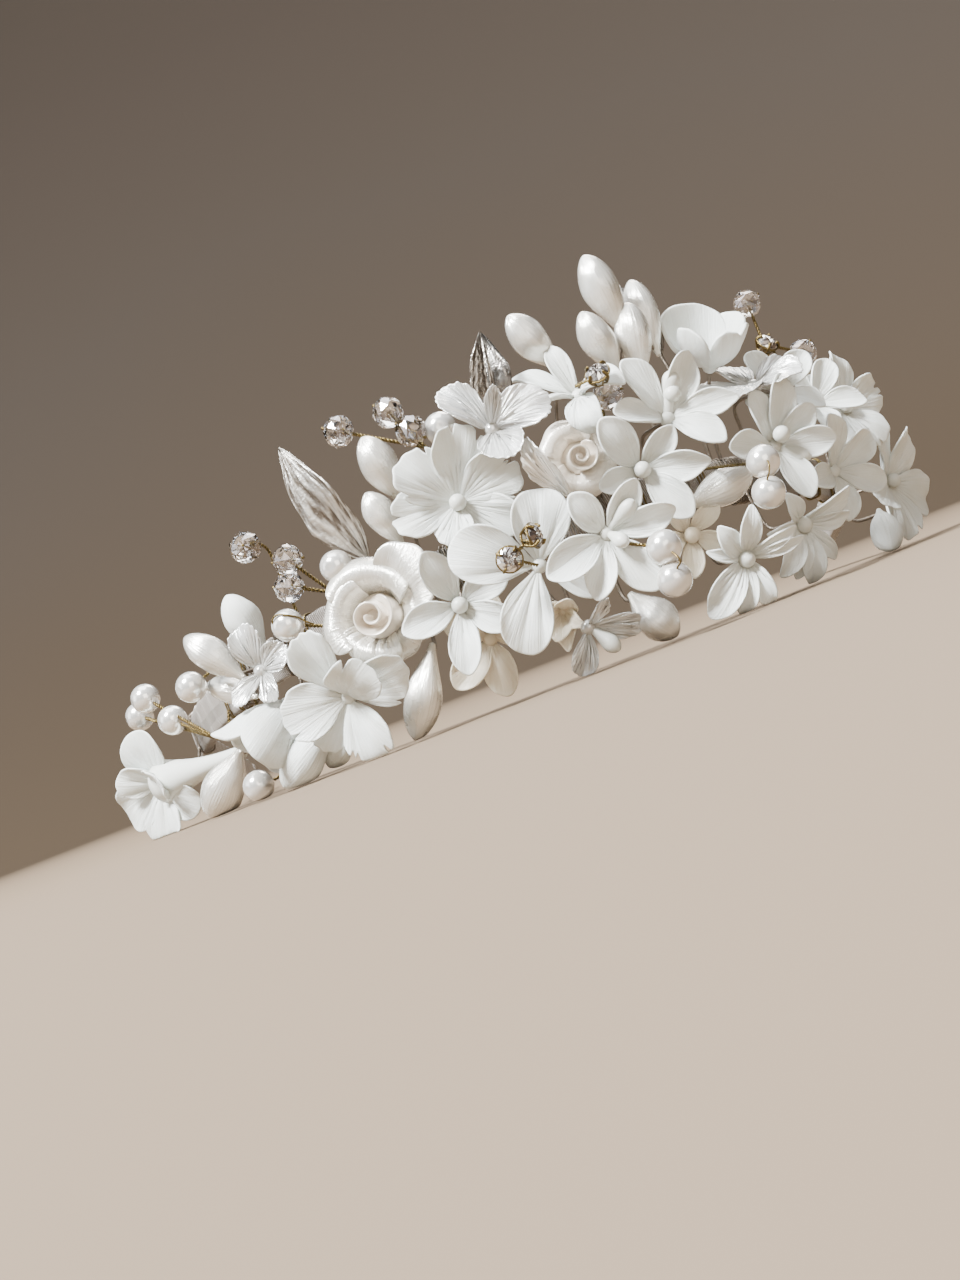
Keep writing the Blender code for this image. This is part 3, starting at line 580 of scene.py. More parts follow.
def petalSurface(shape, length, seed):
    # A petal is a fan bent twice. A point at reach r and bearing v, -1 to 1, lies at r cos,
    # r sin of v times the spread; the rim is at length times the cosine of v to the power
    # round, times factors for the point, the scallops and the slits. Along the petal the
    # slope runs from rise to tip, across it the sheet is an arc. Grooves, fold, lip and
    # waves lift it. A petal with wrap is bent round the flower's axis instead, and its
    # curl rolls the whole rim outwards. It all has a thickness, with a half round rim.
    dice = np.random.default_rng(seed)
    phase = dice.uniform(0, 2 * pi, 6)
    sway = dice.uniform(-0.10, 0.10)
    rollUp = dice.uniform(-0.16, 0.16)
    bend = dice.uniform(-5, 5)
    half = shape["thick"] / 2
    spread = radians(shape["spread"])
    steps = np.linspace(0, petalGrid["beyond"], petalGrid["steps"]) * length
    share = steps / length
    slope = radians(shape["rise"]) + radians(shape["tip"] + bend - shape["rise"]) * share
    slope = slope + radians(shape["curl"]) * smooth((share - shape["bendAt"]) / 0.45)
    ahead = np.concatenate(((0.0,), np.cumsum(np.cos(slope[:-1]) * np.diff(steps))))
    above = np.concatenate(((0.0,), np.cumsum(np.sin(slope[:-1]) * np.diff(steps))))
    bow = radians(shape["cup"]) / (length * max(sin(spread), 0.3))
    grooves = max(shape["grooves"], 2)
    lines = (np.arange(shape["grooves"]) - (shape["grooves"] - 1) / 2) * 1.5 / grooves
    lines = lines + dice.uniform(-0.04, 0.04, shape["grooves"])
    weights = dice.uniform(0.5, 1.0, shape["grooves"])
    cuts = dice.uniform(-0.75, 0.75, shape["slits"])
    width = 0.30 / grooves

    def rim(v):
        edge = np.cos(np.clip(v, -1, 1) * pi / 2) ** shape["round"]
        edge = edge * (1 + shape["point"] * np.exp(-(v / 0.20) ** 2)) / (1 + shape["point"])
        edge = edge * (1 - shape["scallop"] * (1 + np.cos(2 * pi * shape["scallops"] * v + phase[0])))
        for cut in cuts:
            edge = edge * (1 - 0.16 * np.exp(-((v - cut) / 0.035) ** 2))
        return length * edge

    def relief(v, out):
        flutes = np.cos(pi * shape["flutes"] * v + phase[2])
        flutes = flutes + 0.5 * np.cos(pi * (2 * shape["flutes"] + 1) * v + phase[3])
        lift = shape["flute"] * flutes * out ** 0.7 * (1 - 0.4 * out)
        fade = smooth(out / 0.2) * (1 - 0.75 * smooth((out - 0.55) / 0.45))
        for line, weight in zip(lines, weights):
            lift = lift - shape["depth"] * weight * fade * np.exp(-((v - line) / width) ** 2)
        return lift + shape["wave"] * np.sin(pi * shape["waves"] * v + phase[4]) * out ** 3

    def wrappedSheet(r, v, out, lift):
        tilt = np.interp(r, steps, slope)
        reach = shape["wrap"] + np.interp(r, steps, ahead) + 0.9 * v * out - np.sin(tilt) * lift
        high = np.interp(r, steps, above) + np.cos(tilt) * lift - shape["sink"]
        return np.stack((reach * np.cos(v * spread), reach * np.sin(v * spread), high), -1)

    def sheet(r, v):
        out = np.clip(r / length, 0, 1.2)
        lift = relief(v, out)
        if "wrap" in shape:
            return wrappedSheet(r, v, out, lift)
        s = r * np.cos(v * spread)
        t = r * np.sin(v * spread) * (1 - shape["claw"] * np.exp(-(s / (0.3 * length)) ** 2))
        t = t + sway * length * out ** 2
        edge = np.maximum(rim(v), 1e-6)
        lift = lift + shape["fold"] * (np.sqrt(t ** 2 + 0.10) - 0.316)
        lift = lift + shape["lip"] * np.exp(-((edge - r) / 0.7) ** 2) * smooth(edge / (0.5 * length))
        lift = lift + rollUp * t * smooth((out - 0.4) / 0.6)
        lift = lift + 0.10 * np.sin(s * 0.7 + phase[5]) * np.cos(t * 0.9 + phase[0])
        y = np.sin(bow * t) / bow
        lift = lift + (1 - np.cos(bow * t)) / bow
        turn = radians(shape["turn"]) * smooth(out * 1.5)
        across = y * np.cos(turn) - lift * np.sin(turn)
        lift = y * np.sin(turn) + lift * np.cos(turn)
        tilt = np.interp(s, steps, slope)
        x = np.interp(s, steps, ahead) - np.sin(tilt) * lift
        z = np.interp(s, steps, above) + np.cos(tilt) * lift
        return np.stack((x, across, z), -1)

    top, round, under = petalGrid["top"], petalGrid["rim"], petalGrid["under"]
    way = np.concatenate((np.linspace(0, 1, top) ** 0.8, np.ones(round), np.linspace(1, 0, under) ** 0.8))
    turn = np.concatenate((np.zeros(top), np.linspace(0, pi, round + 2)[1:-1], np.full(under, pi)))
    way, turn = way[:, None], turn[:, None]
    v = np.linspace(-1, 1, shape["columns"])
    v = (0.45 * v + 0.55 * np.sin(v * pi / 2))[None]
    edge = rim(v)
    inset = np.minimum(half, 0.45 * edge)
    r = way * (edge - inset) + inset * np.sin(turn)
    v = np.broadcast_to(v, r.shape)
    step = 0.02
    alongWay = sheet(r + step, v) - sheet(np.maximum(r - step, 0), v)
    acrossWay = sheet(r, np.minimum(v + step, 1)) - sheet(r, np.maximum(v - step, -1))
    normal = unit(np.cross(alongWay, acrossWay))
    # The petal thins towards its rim and its root
    body = half * np.cos(turn) * np.minimum(1, edge / 0.5)
    if "wrap" in shape:
        body = body * np.minimum(1, r / 0.4)
    else:
        thinner = 1 - 0.45 * smooth((r / np.maximum(edge, 1e-6) - 0.3) / 0.7)
        body = body * (1 - np.exp(-(r / 0.7) ** 2)) * thinner
    flow = np.stack((r, v * length * spread, np.full(r.shape, seed % 97 * 1.37)), -1)
    return sheet(r, v) + normal * body[..., None], flow


def petal(bearing, length, **changes):
    # One row of a flower's table: bearing 0 points up and grows clockwise from the front
    return {"bearing": bearing, "length": length, "changes": changes}


def addPetal(piece, row, centre, facing, form, seed, finish=0, shared=None):
    # Puts a petal round a flower's axis; shared changes hold for all of its petals
    shape = dict(petalBase, **petalForms[form])
    shape.update(shared or {})
    shape.update(row["changes"])
    local, flow = petalSurface(shape, row["length"], seed)
    upward, side = flowerAxes(facing)
    ahead = upward * cos(radians(row["bearing"])) + side * sin(radians(row["bearing"]))
    across = np.cross(facing, ahead)
    x, y, z = np.split(local, 3, axis=-1)
    grid = centre + (x + shape["outward"]) * ahead + y * across + z * facing
    piece.add(grid, flow, finish=finish)


# Stems, wound on the band where they end

wires = {
    "stem": 0.36, "branch": 0.42, "strand": 0.18, "beadStrand": 0.20, "binding": 0.17,  # radii
    "straightRise": 1.5,    # a stem whose seat is nearer than this in height
    "straightTurn": 2,      # and in degrees runs straight to it
    "bindingTurns": 2.5,
    "bindingPoints": 72,
    "bindingPitch": 0.75,
    "bindingGap": 0.45,     # from the band's surface to the middle of the wire
    "bindingCorner": 0.45,
}
stemSeats = {
    # node: the angle where its stem ends, if not at its own
    "pearl_left_low": -45.2, "bud_left_low": -47.5, "buds_left": -43, "pearl_left": -49.5,
    "buds_low_matte": -31, "bud_hanging": -13, "buds_upper_left": -10.5, "bud_spray_top": 29,
    "bud_top_left": 11, "bud_right_pearly": 26.5, "bud_right_end": 67, "crystals_left": -25,
    "crystals_upper": -6, "crystal_back": 65, "crystals_right": 59, "crystal_lily": 21.3,
    "flower_cup_back": 38, "flower_lily_top": 15.5, "flower_pearly_back": 43.5, "leaf_back": 36,
    "flower_cream_small": 1.5, "pearls_right": 32, "flower_cream_low": -4.5,
}
stemBends = {"pearl_left": 2.5, "pearls_right": 4.5}  # mm that it rises before it turns
topSeats = ("leaf_back", "bud_top_left", "crystals_upper", "crystal_back", "flower_cup_back",
            "bud_spray_top", "leaf_middle", "pearl_behind")
heartSeats = {
    # node: the flower's middle that its wire ends in, in place of the band
    "stones_front": (2.8, 18.6, 20.8), "pearls_front": (10.2, 27.0, 19.2), "stone_lily": (15.5, 10.6, 48.4),
}


def stemCorners(node, start):
    # The same run as the solid's stem: to the lane beside the band, along it, to its seat
    if node in heartSeats:
        return [start, place(*heartSeats[node])], None
    angle = degrees(atan2(start[0], -start[1]))
    high = start[2]
    seat = stemSeats.get(node, angle)
    middle = bandMiddleAt(seat)
    if node in topSeats:
        top = middle + tiara["bandTall"] / 2 + tiara["topGap"]
        return [start, place((angle + seat) / 2, 0, (high + top) / 2), place(seat, 0, top)], seat
    turnHigh = high + stemBends.get(node, 0)
    seatHigh = middle + max(-tiara["seatSpread"], min(tiara["seatSpread"], turnHigh - middle))
    end = place(seat, tiara["bandThick"] / 2 + tiara["besideGap"], seatHigh)
    if abs(turnHigh - seatHigh) < wires["straightRise"] and abs(angle - seat) < wires["straightTurn"]:
        return [start, end], seat
    return [start, place(angle, tiara["stemLane"], turnHigh), end], seat


def addStem(piece, node, start, finish, twisted=False):
    corners, seat = stemCorners(node, start)
    path = smoothPath(corners)
    if twisted:
        piece.addTwistedPair(path, wires["strand"], finish)
    else:
        piece.add(wireSurface(path, wires["stem"]), wrap=True, finish=finish)
    if seat is not None:
        piece.add(bindingSurface(seat), wrap=True, finish=finish)


def bindingSurface(seat):
    # The wire winds on round the band: a squared ring that moves along it evenly
    turn = np.linspace(0, 2 * pi * wires["bindingTurns"], wires["bindingPoints"])
    shape = squaredCircle(turn, wires["bindingCorner"])
    along = (turn / (2 * pi) - wires["bindingTurns"] / 2) * wires["bindingPitch"]
    angle = np.radians(seat + np.degrees(along / tiara["bandRadius"]))
    reach = tiara["bandRadius"] + shape[:, 0] * (tiara["bandThick"] / 2 + wires["bindingGap"])
    high = bandMiddleAt(seat) + shape[:, 1] * (tiara["bandTall"] / 2 + wires["bindingGap"])
    path = np.stack((reach * np.sin(angle), -reach * np.cos(angle), high), -1)
    return wireSurface(path, wires["binding"], 5)


# Band

band = {
    "pitch": 4.6,      # mm from one winding of the ribbon to the next
    "relief": 0.22,    # how high a winding's edge stands
    "edge": 0.10,      # the share of a winding in which it drops again
    "sunk": 0.05,
    "corner": 0.30,
    "step": 0.5,
    "around": 44,
    "shortOfLoop": 3.4,
}
hairLoop = {"radius": 2.72, "thick": 1.13, "wide": 1.32, "windings": 6, "relief": 0.12, "edge": 0.12,
            "steps": 96, "around": 20}


def bandPath():
    # Plan: a half circle with a straight leg at each end; heights follow the slope
    radius = tiara["bandRadius"]
    arc = np.linspace(-pi / 2, pi / 2, int(pi * radius / band["step"]))
    leg = np.arange(tiara["legLength"] - band["shortOfLoop"], 0, -band["step"])
    x = np.concatenate((np.full(len(leg), -radius), radius * np.sin(arc), np.full(len(leg), radius)))
    y = np.concatenate((leg, -radius * np.cos(arc), leg[::-1]))
    return np.stack((x, y, bandMiddle(y)), -1)


def addStrip(piece):
    # A squared profile carried along the band's path; the ribbon's windings step up evenly
    # along each turn and drop at its edge, so the edges run slantwise round it
    path = bandPath()
    along = runLengths(path)[:, None]
    shape = squaredCircle(evenTurns(band["around"]), band["corner"])
    halves = np.array((tiara["bandThick"] / 2, tiara["bandTall"] / 2))
    sides = runLengths(np.vstack((shape, shape[:1])) * halves)
    around = sides[None, :-1] / sides[-1]
    winding = along / band["pitch"] + around
    height = band["relief"] * overlapSteps(winding, band["edge"]) - band["sunk"]
    tangents = unit(np.gradient(path, axis=0) * (1, 1, 0))
    outward = np.stack((tangents[:, 1], -tangents[:, 0], np.zeros(len(path))), -1)
    upward = np.broadcast_to((0.0, 0.0, 1.0), path.shape)
    grid = sweep(path, outward, upward, shape[None] * (halves + height[..., None]))
    ends = np.broadcast_to(path[[0, -1]][:, None], (2, band["around"], 3))
    grid = np.concatenate((ends[:1], grid, ends[1:]))
    flow = np.stack(np.broadcast_arrays(winding, along, around), -1)
    flow = np.concatenate((flow[:1], flow, flow[-1:]))
    piece.add(grid, flow, wrap=True)


def addHairLoop(piece, side):
    # A ring at the end of a leg, wound like the band: an oval carried round a circle
    spin = evenTurns(hairLoop["steps"])
    rings = evenTurns(hairLoop["around"])[None]
    winding = spin[:, None] * hairLoop["windings"] / (2 * pi) + rings / (2 * pi)
    swell = 1 + hairLoop["relief"] * overlapSteps(winding, hairLoop["edge"])
    outward = np.stack((np.zeros(len(spin)), np.cos(spin), np.sin(spin)), -1)
    centre = np.array((side * tiara["bandRadius"], tiara["legLength"], bandMiddle(tiara["legLength"])))
    thick = np.cos(rings) * hairLoop["thick"] * swell
    wide = np.sin(rings) * hairLoop["wide"] * swell
    axis = np.broadcast_to((1.0, 0.0, 0.0), outward.shape)
    grid = sweep(centre + outward * hairLoop["radius"], outward, axis, np.stack((thick, wide), -1))
    piece.add(grid, winding[..., None], wrap=True, loop=True)


bandPiece = Piece("band", woundRibbon)
addStrip(bandPiece)
for side in (-1, 1):
    addHairLoop(bandPiece, side)
bandPiece.build()
print("band made")


# Flowers

flowers = {
    # place: angle, out, high. face and lift turn the flower from the outward line.
    # shape: what differs from the form in all of its petals. neighbour: a second head on
    # the same stem, with index as its finish in the piece. throat: where a trumpet begins
    "flower_star_front": dict(
        form="star", place=(-7.1, 9.3, 19.9), face=5, lift=-5, heart="ball", petals=[
            petal(-14, 11.8), petal(-92, 11.4, spread=35), petal(-168, 12.8, spread=30),
            petal(132, 11.0), petal(66, 11.2)]),
    "flower_ruffled_top": dict(
        form="ruffle", place=(-2.8, 12.5, 36.3), face=3, lift=-3, heart="ball", petals=[
            petal(28, 13.4, rise=18), petal(-34, 12.8), petal(-84, 12.2, spread=38, slits=1),
            petal(136, 11.4, rise=18), petal(78, 12.8, spread=44, slits=4, rise=30),
            petal(-152, 9.0, rise=46, tip=22, spread=42, slits=0)]),
    "flower_broad_front": dict(
        form="broad", place=(3, 16.6, 20.8), face=-4, lift=-5, heart="none", petals=[
            petal(118, 12.4, rise=16, cup=20), petal(22, 13.4, spread=46),
            petal(-58, 16.0, spread=38, depth=0.2), petal(-142, 15.4, spread=36)]),
    "flower_cream_low": dict(
        form="star", place=(-5.6, 2.6, 12.5), face=0, lift=-4, heart="none", finish="cream", petals=[
            petal(-130, 11.0, spread=38, flute=0.15), petal(178, 11.0, spread=38, flute=0.15),
            petal(94, 9.4), petal(22, 9.4), petal(-50, 9.4)]),
    "flower_cream_small": dict(
        form="cup", place=(4.5, 5.5, 12.5), face=-15, lift=-15, heart="none", finish="cream", petals=[
            petal(-137, 7.2), petal(-47, 6.8), petal(43, 6.8), petal(133, 7.6, point=0.25),
            petal(185, 8.4, rise=56, point=0.25)]),
    "flower_cream_behind": dict(
        form="star", place=(24.5, 5.5, 17), face=-20, lift=-9, heart="ball", finish="cream", petals=[
            petal(52, 8.0), petal(124, 8.0), petal(196, 8.0), petal(268, 8.0), petal(340, 8.0)]),
    "flower_pearly_mid": dict(
        form="pearly", place=(3.7, 15.5, 45.4), face=10, lift=33, heart="none", finish="veined",
        petals=[
            petal(-38, 11.6, spread=40), petal(86, 11.4, spread=46),
            petal(-172, 9.6, spread=52, rise=30),
            petal(24, 9.4, spread=20, rise=84, tip=70, cup=90, curl=0)]),
    "flower_pearly_back": dict(
        form="pearly", place=(41.4, 10, 38.4), face=-34, lift=56, heart="none", finish="veined",
        petals=[
            petal(-14, 9.4, rise=12), petal(70, 9.6, rise=12), petal(140, 10.4), petal(-146, 10.6),
            petal(-78, 12.0, rise=12)],
        neighbour=dict(form="star", place=(48.5, 7, 36.5), face=-30, lift=24, index=2, petals=[
            petal(-20, 9.6, spread=38), petal(60, 10.2, spread=38), petal(140, 9.8),
            petal(-100, 9.0)])),
    "flower_pearly_left": dict(
        form="pearly", place=(-35.4, 10, 22.4), face=22, lift=13, heart="none", finish="veined",
        petals=[
            petal(-8, 9.4, spread=38), petal(76, 7.6, spread=44), petal(158, 7.4, spread=36),
            petal(-134, 8.2, spread=34)]),
    "flower_pearly_low": dict(
        form="pearly", place=(6, 12, 8), face=-3, lift=-20, heart="club", finish="veined", petals=[
            petal(36, 7.6, spread=18, rise=56), petal(90, 9.6, spread=20, depth=0.2),
            petal(112, 9.0, spread=20, depth=0.2), petal(-150, 9.0, spread=30)]),
    "flower_bud_stamens": dict(
        form="star", place=(9.8, 24.8, 21.3), face=-7, lift=-5, heart="stamens", petals=[
            petal(-30, 9.4, spread=38), petal(48, 10.4, spread=32, cup=55), petal(94, 12.2, spread=28),
            petal(160, 12.8, spread=34), petal(-146, 11.6, spread=31), petal(-103, 13.2, spread=33)]),
    "flower_ball_right": dict(
        form="star", place=(19.2, 11.5, 30.6), face=-18, lift=-10, heart="ball", petals=[
            petal(53, 9.6), petal(-25, 12.2, spread=36), petal(-96, 8.8, spread=36),
            petal(105, 12.4, spread=32, point=0.12), petal(152, 12.4, spread=34)]),
    "flower_lily_top": dict(
        form="lily", place=(16.2, 8, 46.6), face=-30, lift=52, heart="none", petals=[
            petal(-62, 14.0, spread=22, rise=44, tip=10), petal(-22, 11.6, spread=26, rise=66, tip=30),
            petal(84, 9.0, spread=26, tip=-40), petal(118, 12.2, spread=34, tip=-30),
            petal(-112, 10.0, curl=-50),
            petal(176, 10.4, spread=46, rise=30, tip=-76, curl=-80, depth=0.25, grooves=5)]),
    "flower_tall_stamens": dict(
        form="star", place=(23.9, 14, 37.2), face=-5, lift=16, heart="tall", petals=[
            petal(48, 12.2, spread=34), petal(-27, 12.8, spread=32), petal(-80, 11.4, spread=28),
            petal(101, 13.0, spread=28, point=0.12), petal(143, 11.4, spread=34)]),
    "flower_right_stamens": dict(
        form="star", place=(39.8, 11, 26.8), face=-22, lift=-2, heart="ball and club", petals=[
            petal(20, 13.2, spread=30), petal(-20, 11.4, spread=26), petal(-82, 11.6, spread=33),
            petal(110, 11.2, spread=34), petal(172, 11.8, spread=32), petal(60, 10.4)]),
    "flower_lily_low": dict(
        form="lily", place=(27.4, 13, 9.6), face=-30, lift=-18, heart="ball", petals=[
            petal(-27, 9.4, spread=32), petal(20, 11.2, spread=26), petal(70, 11.6, spread=17),
            petal(86, 11.8, spread=16), petal(-56, 8.6, spread=20),
            petal(-122, 13.6, spread=32, depth=0.3, grooves=5, tip=-30),
            petal(-160, 11.6, spread=28, depth=0.25), petal(168, 11.0, spread=28, depth=0.25)]),
    "flower_right_low": dict(
        form="lily", place=(38.8, 11, 12.0), face=-22, lift=-26, heart="ball", petals=[
            petal(64, 11.6, spread=26), petal(98, 10.0, spread=26), petal(-28, 8.8, spread=30),
            petal(-80, 9.4), petal(-130, 11.4, spread=28, depth=0.25), petal(-152, 11.0, spread=28),
            petal(-174, 12.8, spread=28, depth=0.25), petal(146, 10.6)]),
    "flower_right_mid": dict(
        form="star", place=(52, 9.5, 19.0), face=-17, lift=-7, heart="none", petals=[
            petal(-8, 11.6, spread=38), petal(58, 11.2, spread=38), petal(124, 11.0), petal(-165, 10.6),
            petal(-95, 10.4)]),
    "flower_right_high": dict(
        form="ruffle", place=(70, 8, 31), face=-32, lift=8, heart="ball", petals=[
            petal(16, 11.8), petal(88, 11.2), petal(160, 11.2), petal(232, 11.2), petal(304, 11.6)],
        neighbour=dict(form="star", place=(60, 6.5, 33.0), face=-28, lift=22, index=0, petals=[
            petal(-30, 11.0, spread=38), petal(40, 10.4, spread=36), petal(112, 10.4, spread=34),
            petal(-150, 10.2), petal(-95, 10.6)])),
    "flower_right_end": dict(
        form="ruffle", place=(76, 10.5, 14), face=-26, lift=-8, heart="ball", petals=[
            petal(-167, 13.6), petal(-95, 12.8), petal(-23, 13.0), petal(49, 12.6), petal(121, 12.8)]),
    "flower_cup_back": dict(
        form="bell", place=(38.7, 5, 45.2), face=0, lift=62, heart="none", petals=[
            petal(16, 14.8, spread=68), petal(88, 12.8, spread=48, curl=-35),
            petal(140, 11.2, spread=42, curl=-15), petal(-166, 10.4, spread=36, curl=-5),
            petal(-88, 11.6, spread=46, curl=-5)]),
    "flower_left_end": dict(
        form="broad", place=(-71.5, 11, 10.4), face=38, lift=-8, heart="none",
        throat=(-48.8, 4.5, 10.2), petals=[
            petal(2, 12.6, spread=50, grooves=5, depth=0.16),
            petal(-48, 9.8, spread=46, rise=52, tip=18),
            petal(-104, 12.8, spread=50, rise=30, wave=0.5, grooves=5, depth=0.2),
            petal(-166, 14.2, rise=36, spread=46, wave=0.4), petal(128, 12.4, rise=44, spread=46),
            petal(68, 10.6, rise=66, tip=40, spread=46)]),
    "flower_left_tulip": dict(
        form="bell", place=(-34.7, 7.5, 15.2), face=-44, lift=-36, heart="none",
        shape=dict(rise=32, tip=98), petals=[
            petal(14, 15.6, spread=48, curl=-45), petal(102, 14.6, spread=62, curl=-6, wrap=1.0),
            petal(-60, 14.0, curl=-10), petal(176, 14.2, spread=54, curl=-15), petal(-130, 14.0)]),
    "flower_left_ruffled": dict(
        form="ruffle", place=(-23, 14, 12), face=10, lift=-6, heart="none",
        shape=dict(grooves=3, depth=0.10, flute=0.07, wave=0.35), petals=[
            petal(-16, 14.4, spread=24, round=0.12, cup=44, fold=0.3, slits=0),
            petal(-84, 12.4, spread=44, rise=34, slits=1, curl=-34),
            petal(170, 13.0, spread=38, slits=3, rise=34, curl=-30),
            petal(-136, 10.4, spread=36, rise=14, slits=0),
            petal(86, 12.8, spread=40, curl=-60, slits=1),
            petal(46, 11.2, rise=72, tip=6, curl=-60, spread=54, slits=1, round=0.36, wave=0.2, flute=0.04)]),
}
clayFinishes = {
    "matte": (matteClay, "matte_clay"),
    "cream": (creamClay, "cream_clay"),
    "veined": (veinedClay, "veined_clay"),
}
hearts = {
    # kind: its parts, each so many mm ahead, aside and up from the petals' roots. A ball has
    # a radius and its axis's tilt upwards, a club its radius at the root and at the head.
    "none": [],
    "ball": [("ball", (2.1, 0, 0), 1.5, 0)],
    "stamens": [("club", (4.6, 5.6, 3.4), 0.6, 1.5), ("club", (6.0, 1.6, -2.6), 0.6, 1.35)],
    "tall": [("club", (4.2, 3.4, 6.6), 1.0, 1.7), ("ball", (2.9, 1.9, 3.0), 1.55, 1)],
    "ball and club": [("ball", (4.0, 0.2, 1.4), 1.6, 0), ("club", (3.4, 4.2, -4.8), 0.6, 1.45)],
    "club": [("club", (4.4, 3.2, -4.6), 0.7, 1.6)],
}
flowerBase = {"domeAhead": 0.2, "domeRadius": 1.4, "stemBehind": 1.0}
club = {"rows": 22, "around": 18, "bow": (0.09, 0.03, 0.30), "closesAt": 0.72}
throat = {"rows": 26, "around": 28, "narrow": 1.3, "widens": 3.6, "power": 2.2, "ends": 0.03}


def clubSurface(start, end, root, head):
    # A stamen: a circle carried along a bowed line. Its radius grows from root to head, and
    # closes over the last part like a quarter circle.
    turn = np.linspace(0, pi, club["rows"])
    share = (1 - np.cos(turn)) / 2
    path = start + (end - start) * share[:, None]
    path = path + np.sin(turn)[:, None] * np.array(club["bow"])
    radius = root + (head - root) * smooth(share * 1.5 - 0.2)
    last = np.clip((share - club["closesAt"]) / (1 - club["closesAt"]), 0, 1)
    radius = radius * np.sqrt(1 - last ** 2) * np.minimum(1, share / 0.01)
    return sweep(path, *pathSides(path), circle(1.0, club["around"]), radius)


def addHeart(piece, kind, centre, facing, clubFinish):
    upward, side = flowerAxes(facing)
    # Under every heart a small dome joins the petals' roots
    dome = ballSurface(centre + facing * flowerBase["domeAhead"], flowerBase["domeRadius"], facing, 20, 10)
    piece.add(dome, wrap=True)
    for part, (ahead, aside, up), first, second in hearts[kind]:
        spot = centre + facing * ahead + side * aside + upward * up
        if part == "ball":
            piece.add(ballSurface(spot, first, facing + upward * second), wrap=True)
        else:
            piece.add(clubSurface(centre, spot, first, second), wrap=True, finish=clubFinish)


def addThroat(piece, start, end):
    # A trumpet's throat: a cone that widens with a power of the share, closed at both ends
    share = np.linspace(0, 1, throat["rows"])
    path = start * (1 - share[:, None]) + end * share[:, None]
    radius = throat["narrow"] + throat["widens"] * share ** throat["power"]
    taper = radius * closedEnds(share, throat["ends"])
    piece.add(sweep(path, *pathSides(path), circle(1.0, throat["around"]), taper), wrap=True)


def addHead(piece, head, seed):
    # One flower head's petals; returns its middle and the way it faces
    centre = place(*head["place"])
    facing = direction(head["place"][0] + head["face"], head["lift"])
    for number, row in enumerate(head["petals"]):
        addPetal(piece, row, centre, facing, head["form"], seed + number * 7, head.get("index", 0),
                 head.get("shape"))
    return centre, facing


for order, (node, flower) in enumerate(flowers.items()):
    finish, slotName = clayFinishes[flower.get("finish", "matte")]
    piece = Piece(node, finish, stemWire, matteClay)
    seed = order * 31 + 3
    centre, facing = addHead(piece, flower, seed)
    addHeart(piece, flower["heart"], centre, facing, 0 if finish is matteClay else 2)
    addStem(piece, node, centre - facing * flowerBase["stemBehind"], 1)
    if "neighbour" in flower:
        beside = addHead(piece, flower["neighbour"], seed + 17)[0]
        piece.add(wireSurface(smoothPath([beside, centre]), wires["stem"]), wrap=True, finish=1)
    if "throat" in flower:
        addThroat(piece, place(*flower["throat"]), centre)
    piece.build()
print("flowers made:", len(flowers))


# Roses

roses = {
    # wrap: how far from the rose's axis a petal's root is
    "rose_front": dict(
        place=(-17.5, 6.2, 23.2), face=6, lift=4, size=8.8, finish=pearlClay, slot="pearl_clay",
        petals=[
            petal(62, 15.6, wrap=4.6, spread=46, sink=2.2, curl=-90),
            petal(12, 13.8, wrap=3.2, spread=70, sink=0.6),
            petal(-66, 13.2, wrap=2.8, spread=64, sink=0.2),
            petal(108, 12.4, wrap=3.0, spread=58, sink=0.9),
            petal(-150, 12.2, wrap=2.4, spread=60, grooves=17, depth=0.13),
            petal(176, 11.8, wrap=2.6, spread=58, sink=0.5, grooves=17, depth=0.13)]),
    "rose_back": dict(
        place=(13.8, 4.6, 36.8), face=-10, lift=-2, size=6.6, finish=creamPearlClay, slot="cream_clay",
        petals=[
            petal(60, 9.8, wrap=2.0), petal(132, 9.6, wrap=1.7, sink=0.4), petal(204, 9.4, wrap=1.9),
            petal(276, 9.8, wrap=1.7, sink=0.5), petal(348, 9.6, wrap=1.9)]),
}
rosePart = {"rootBehind": 1.2, "coreAhead": 0.06, "core": 0.50, "stemBehind": 1.0}  # core by its size
spiral = {
    # The furled heart, by the rose's size
    "turns": 1.85,
    "points": 150,
    "around": 26,
    "corner": 0.6,
    "radius": (0.05, 0.30),  # at its start, and what is added by its end
    "power": 1.15,
    "tall": (0.30, 0.10),
    "ahead": (0.62, -0.12),
    "thick": 0.30,           # mm
    "lean": (0.3, 0.7),      # by its tallness, at its start and what is added by its end
    "leanMost": 0.42,
    "ends": 0.06,
    "bearing": 0.4,          # where it ends, in radians from the top
}


def spiralSurface(centre, facing, size):
    # A thin strip stands on a spiral whose radius grows with its turn; it leans outwards
    # like a funnel and its two ends thin away
    upward, side = flowerAxes(facing)
    turn = np.linspace(0, 2 * pi * spiral["turns"], spiral["points"])
    share = turn / turn[-1]
    bearing = turn[-1] - turn + spiral["bearing"]
    radius = size * (spiral["radius"][0] + spiral["radius"][1] * share ** spiral["power"])
    tall = size * (spiral["tall"][0] + spiral["tall"][1] * share)
    ahead = size * (spiral["ahead"][0] + spiral["ahead"][1] * share)
    outward = np.cos(bearing)[:, None] * upward + np.sin(bearing)[:, None] * side
    path = centre + outward * radius[:, None] + facing * ahead[:, None]
    shape = squaredCircle(evenTurns(spiral["around"]), spiral["corner"])[None]
    grows = spiral["lean"][0] + spiral["lean"][1] * share[:, None]
    lean = spiral["leanMost"] * tall[:, None] * shape[..., 1] * grows
    taper = closedEnds(share, spiral["ends"])[:, None]
    across = (shape[..., 0] * spiral["thick"] + lean) * taper
    upright = shape[..., 1] * tall[:, None] * taper
    return sweep(path, outward, np.broadcast_to(facing, path.shape), np.stack((across, upright), -1))


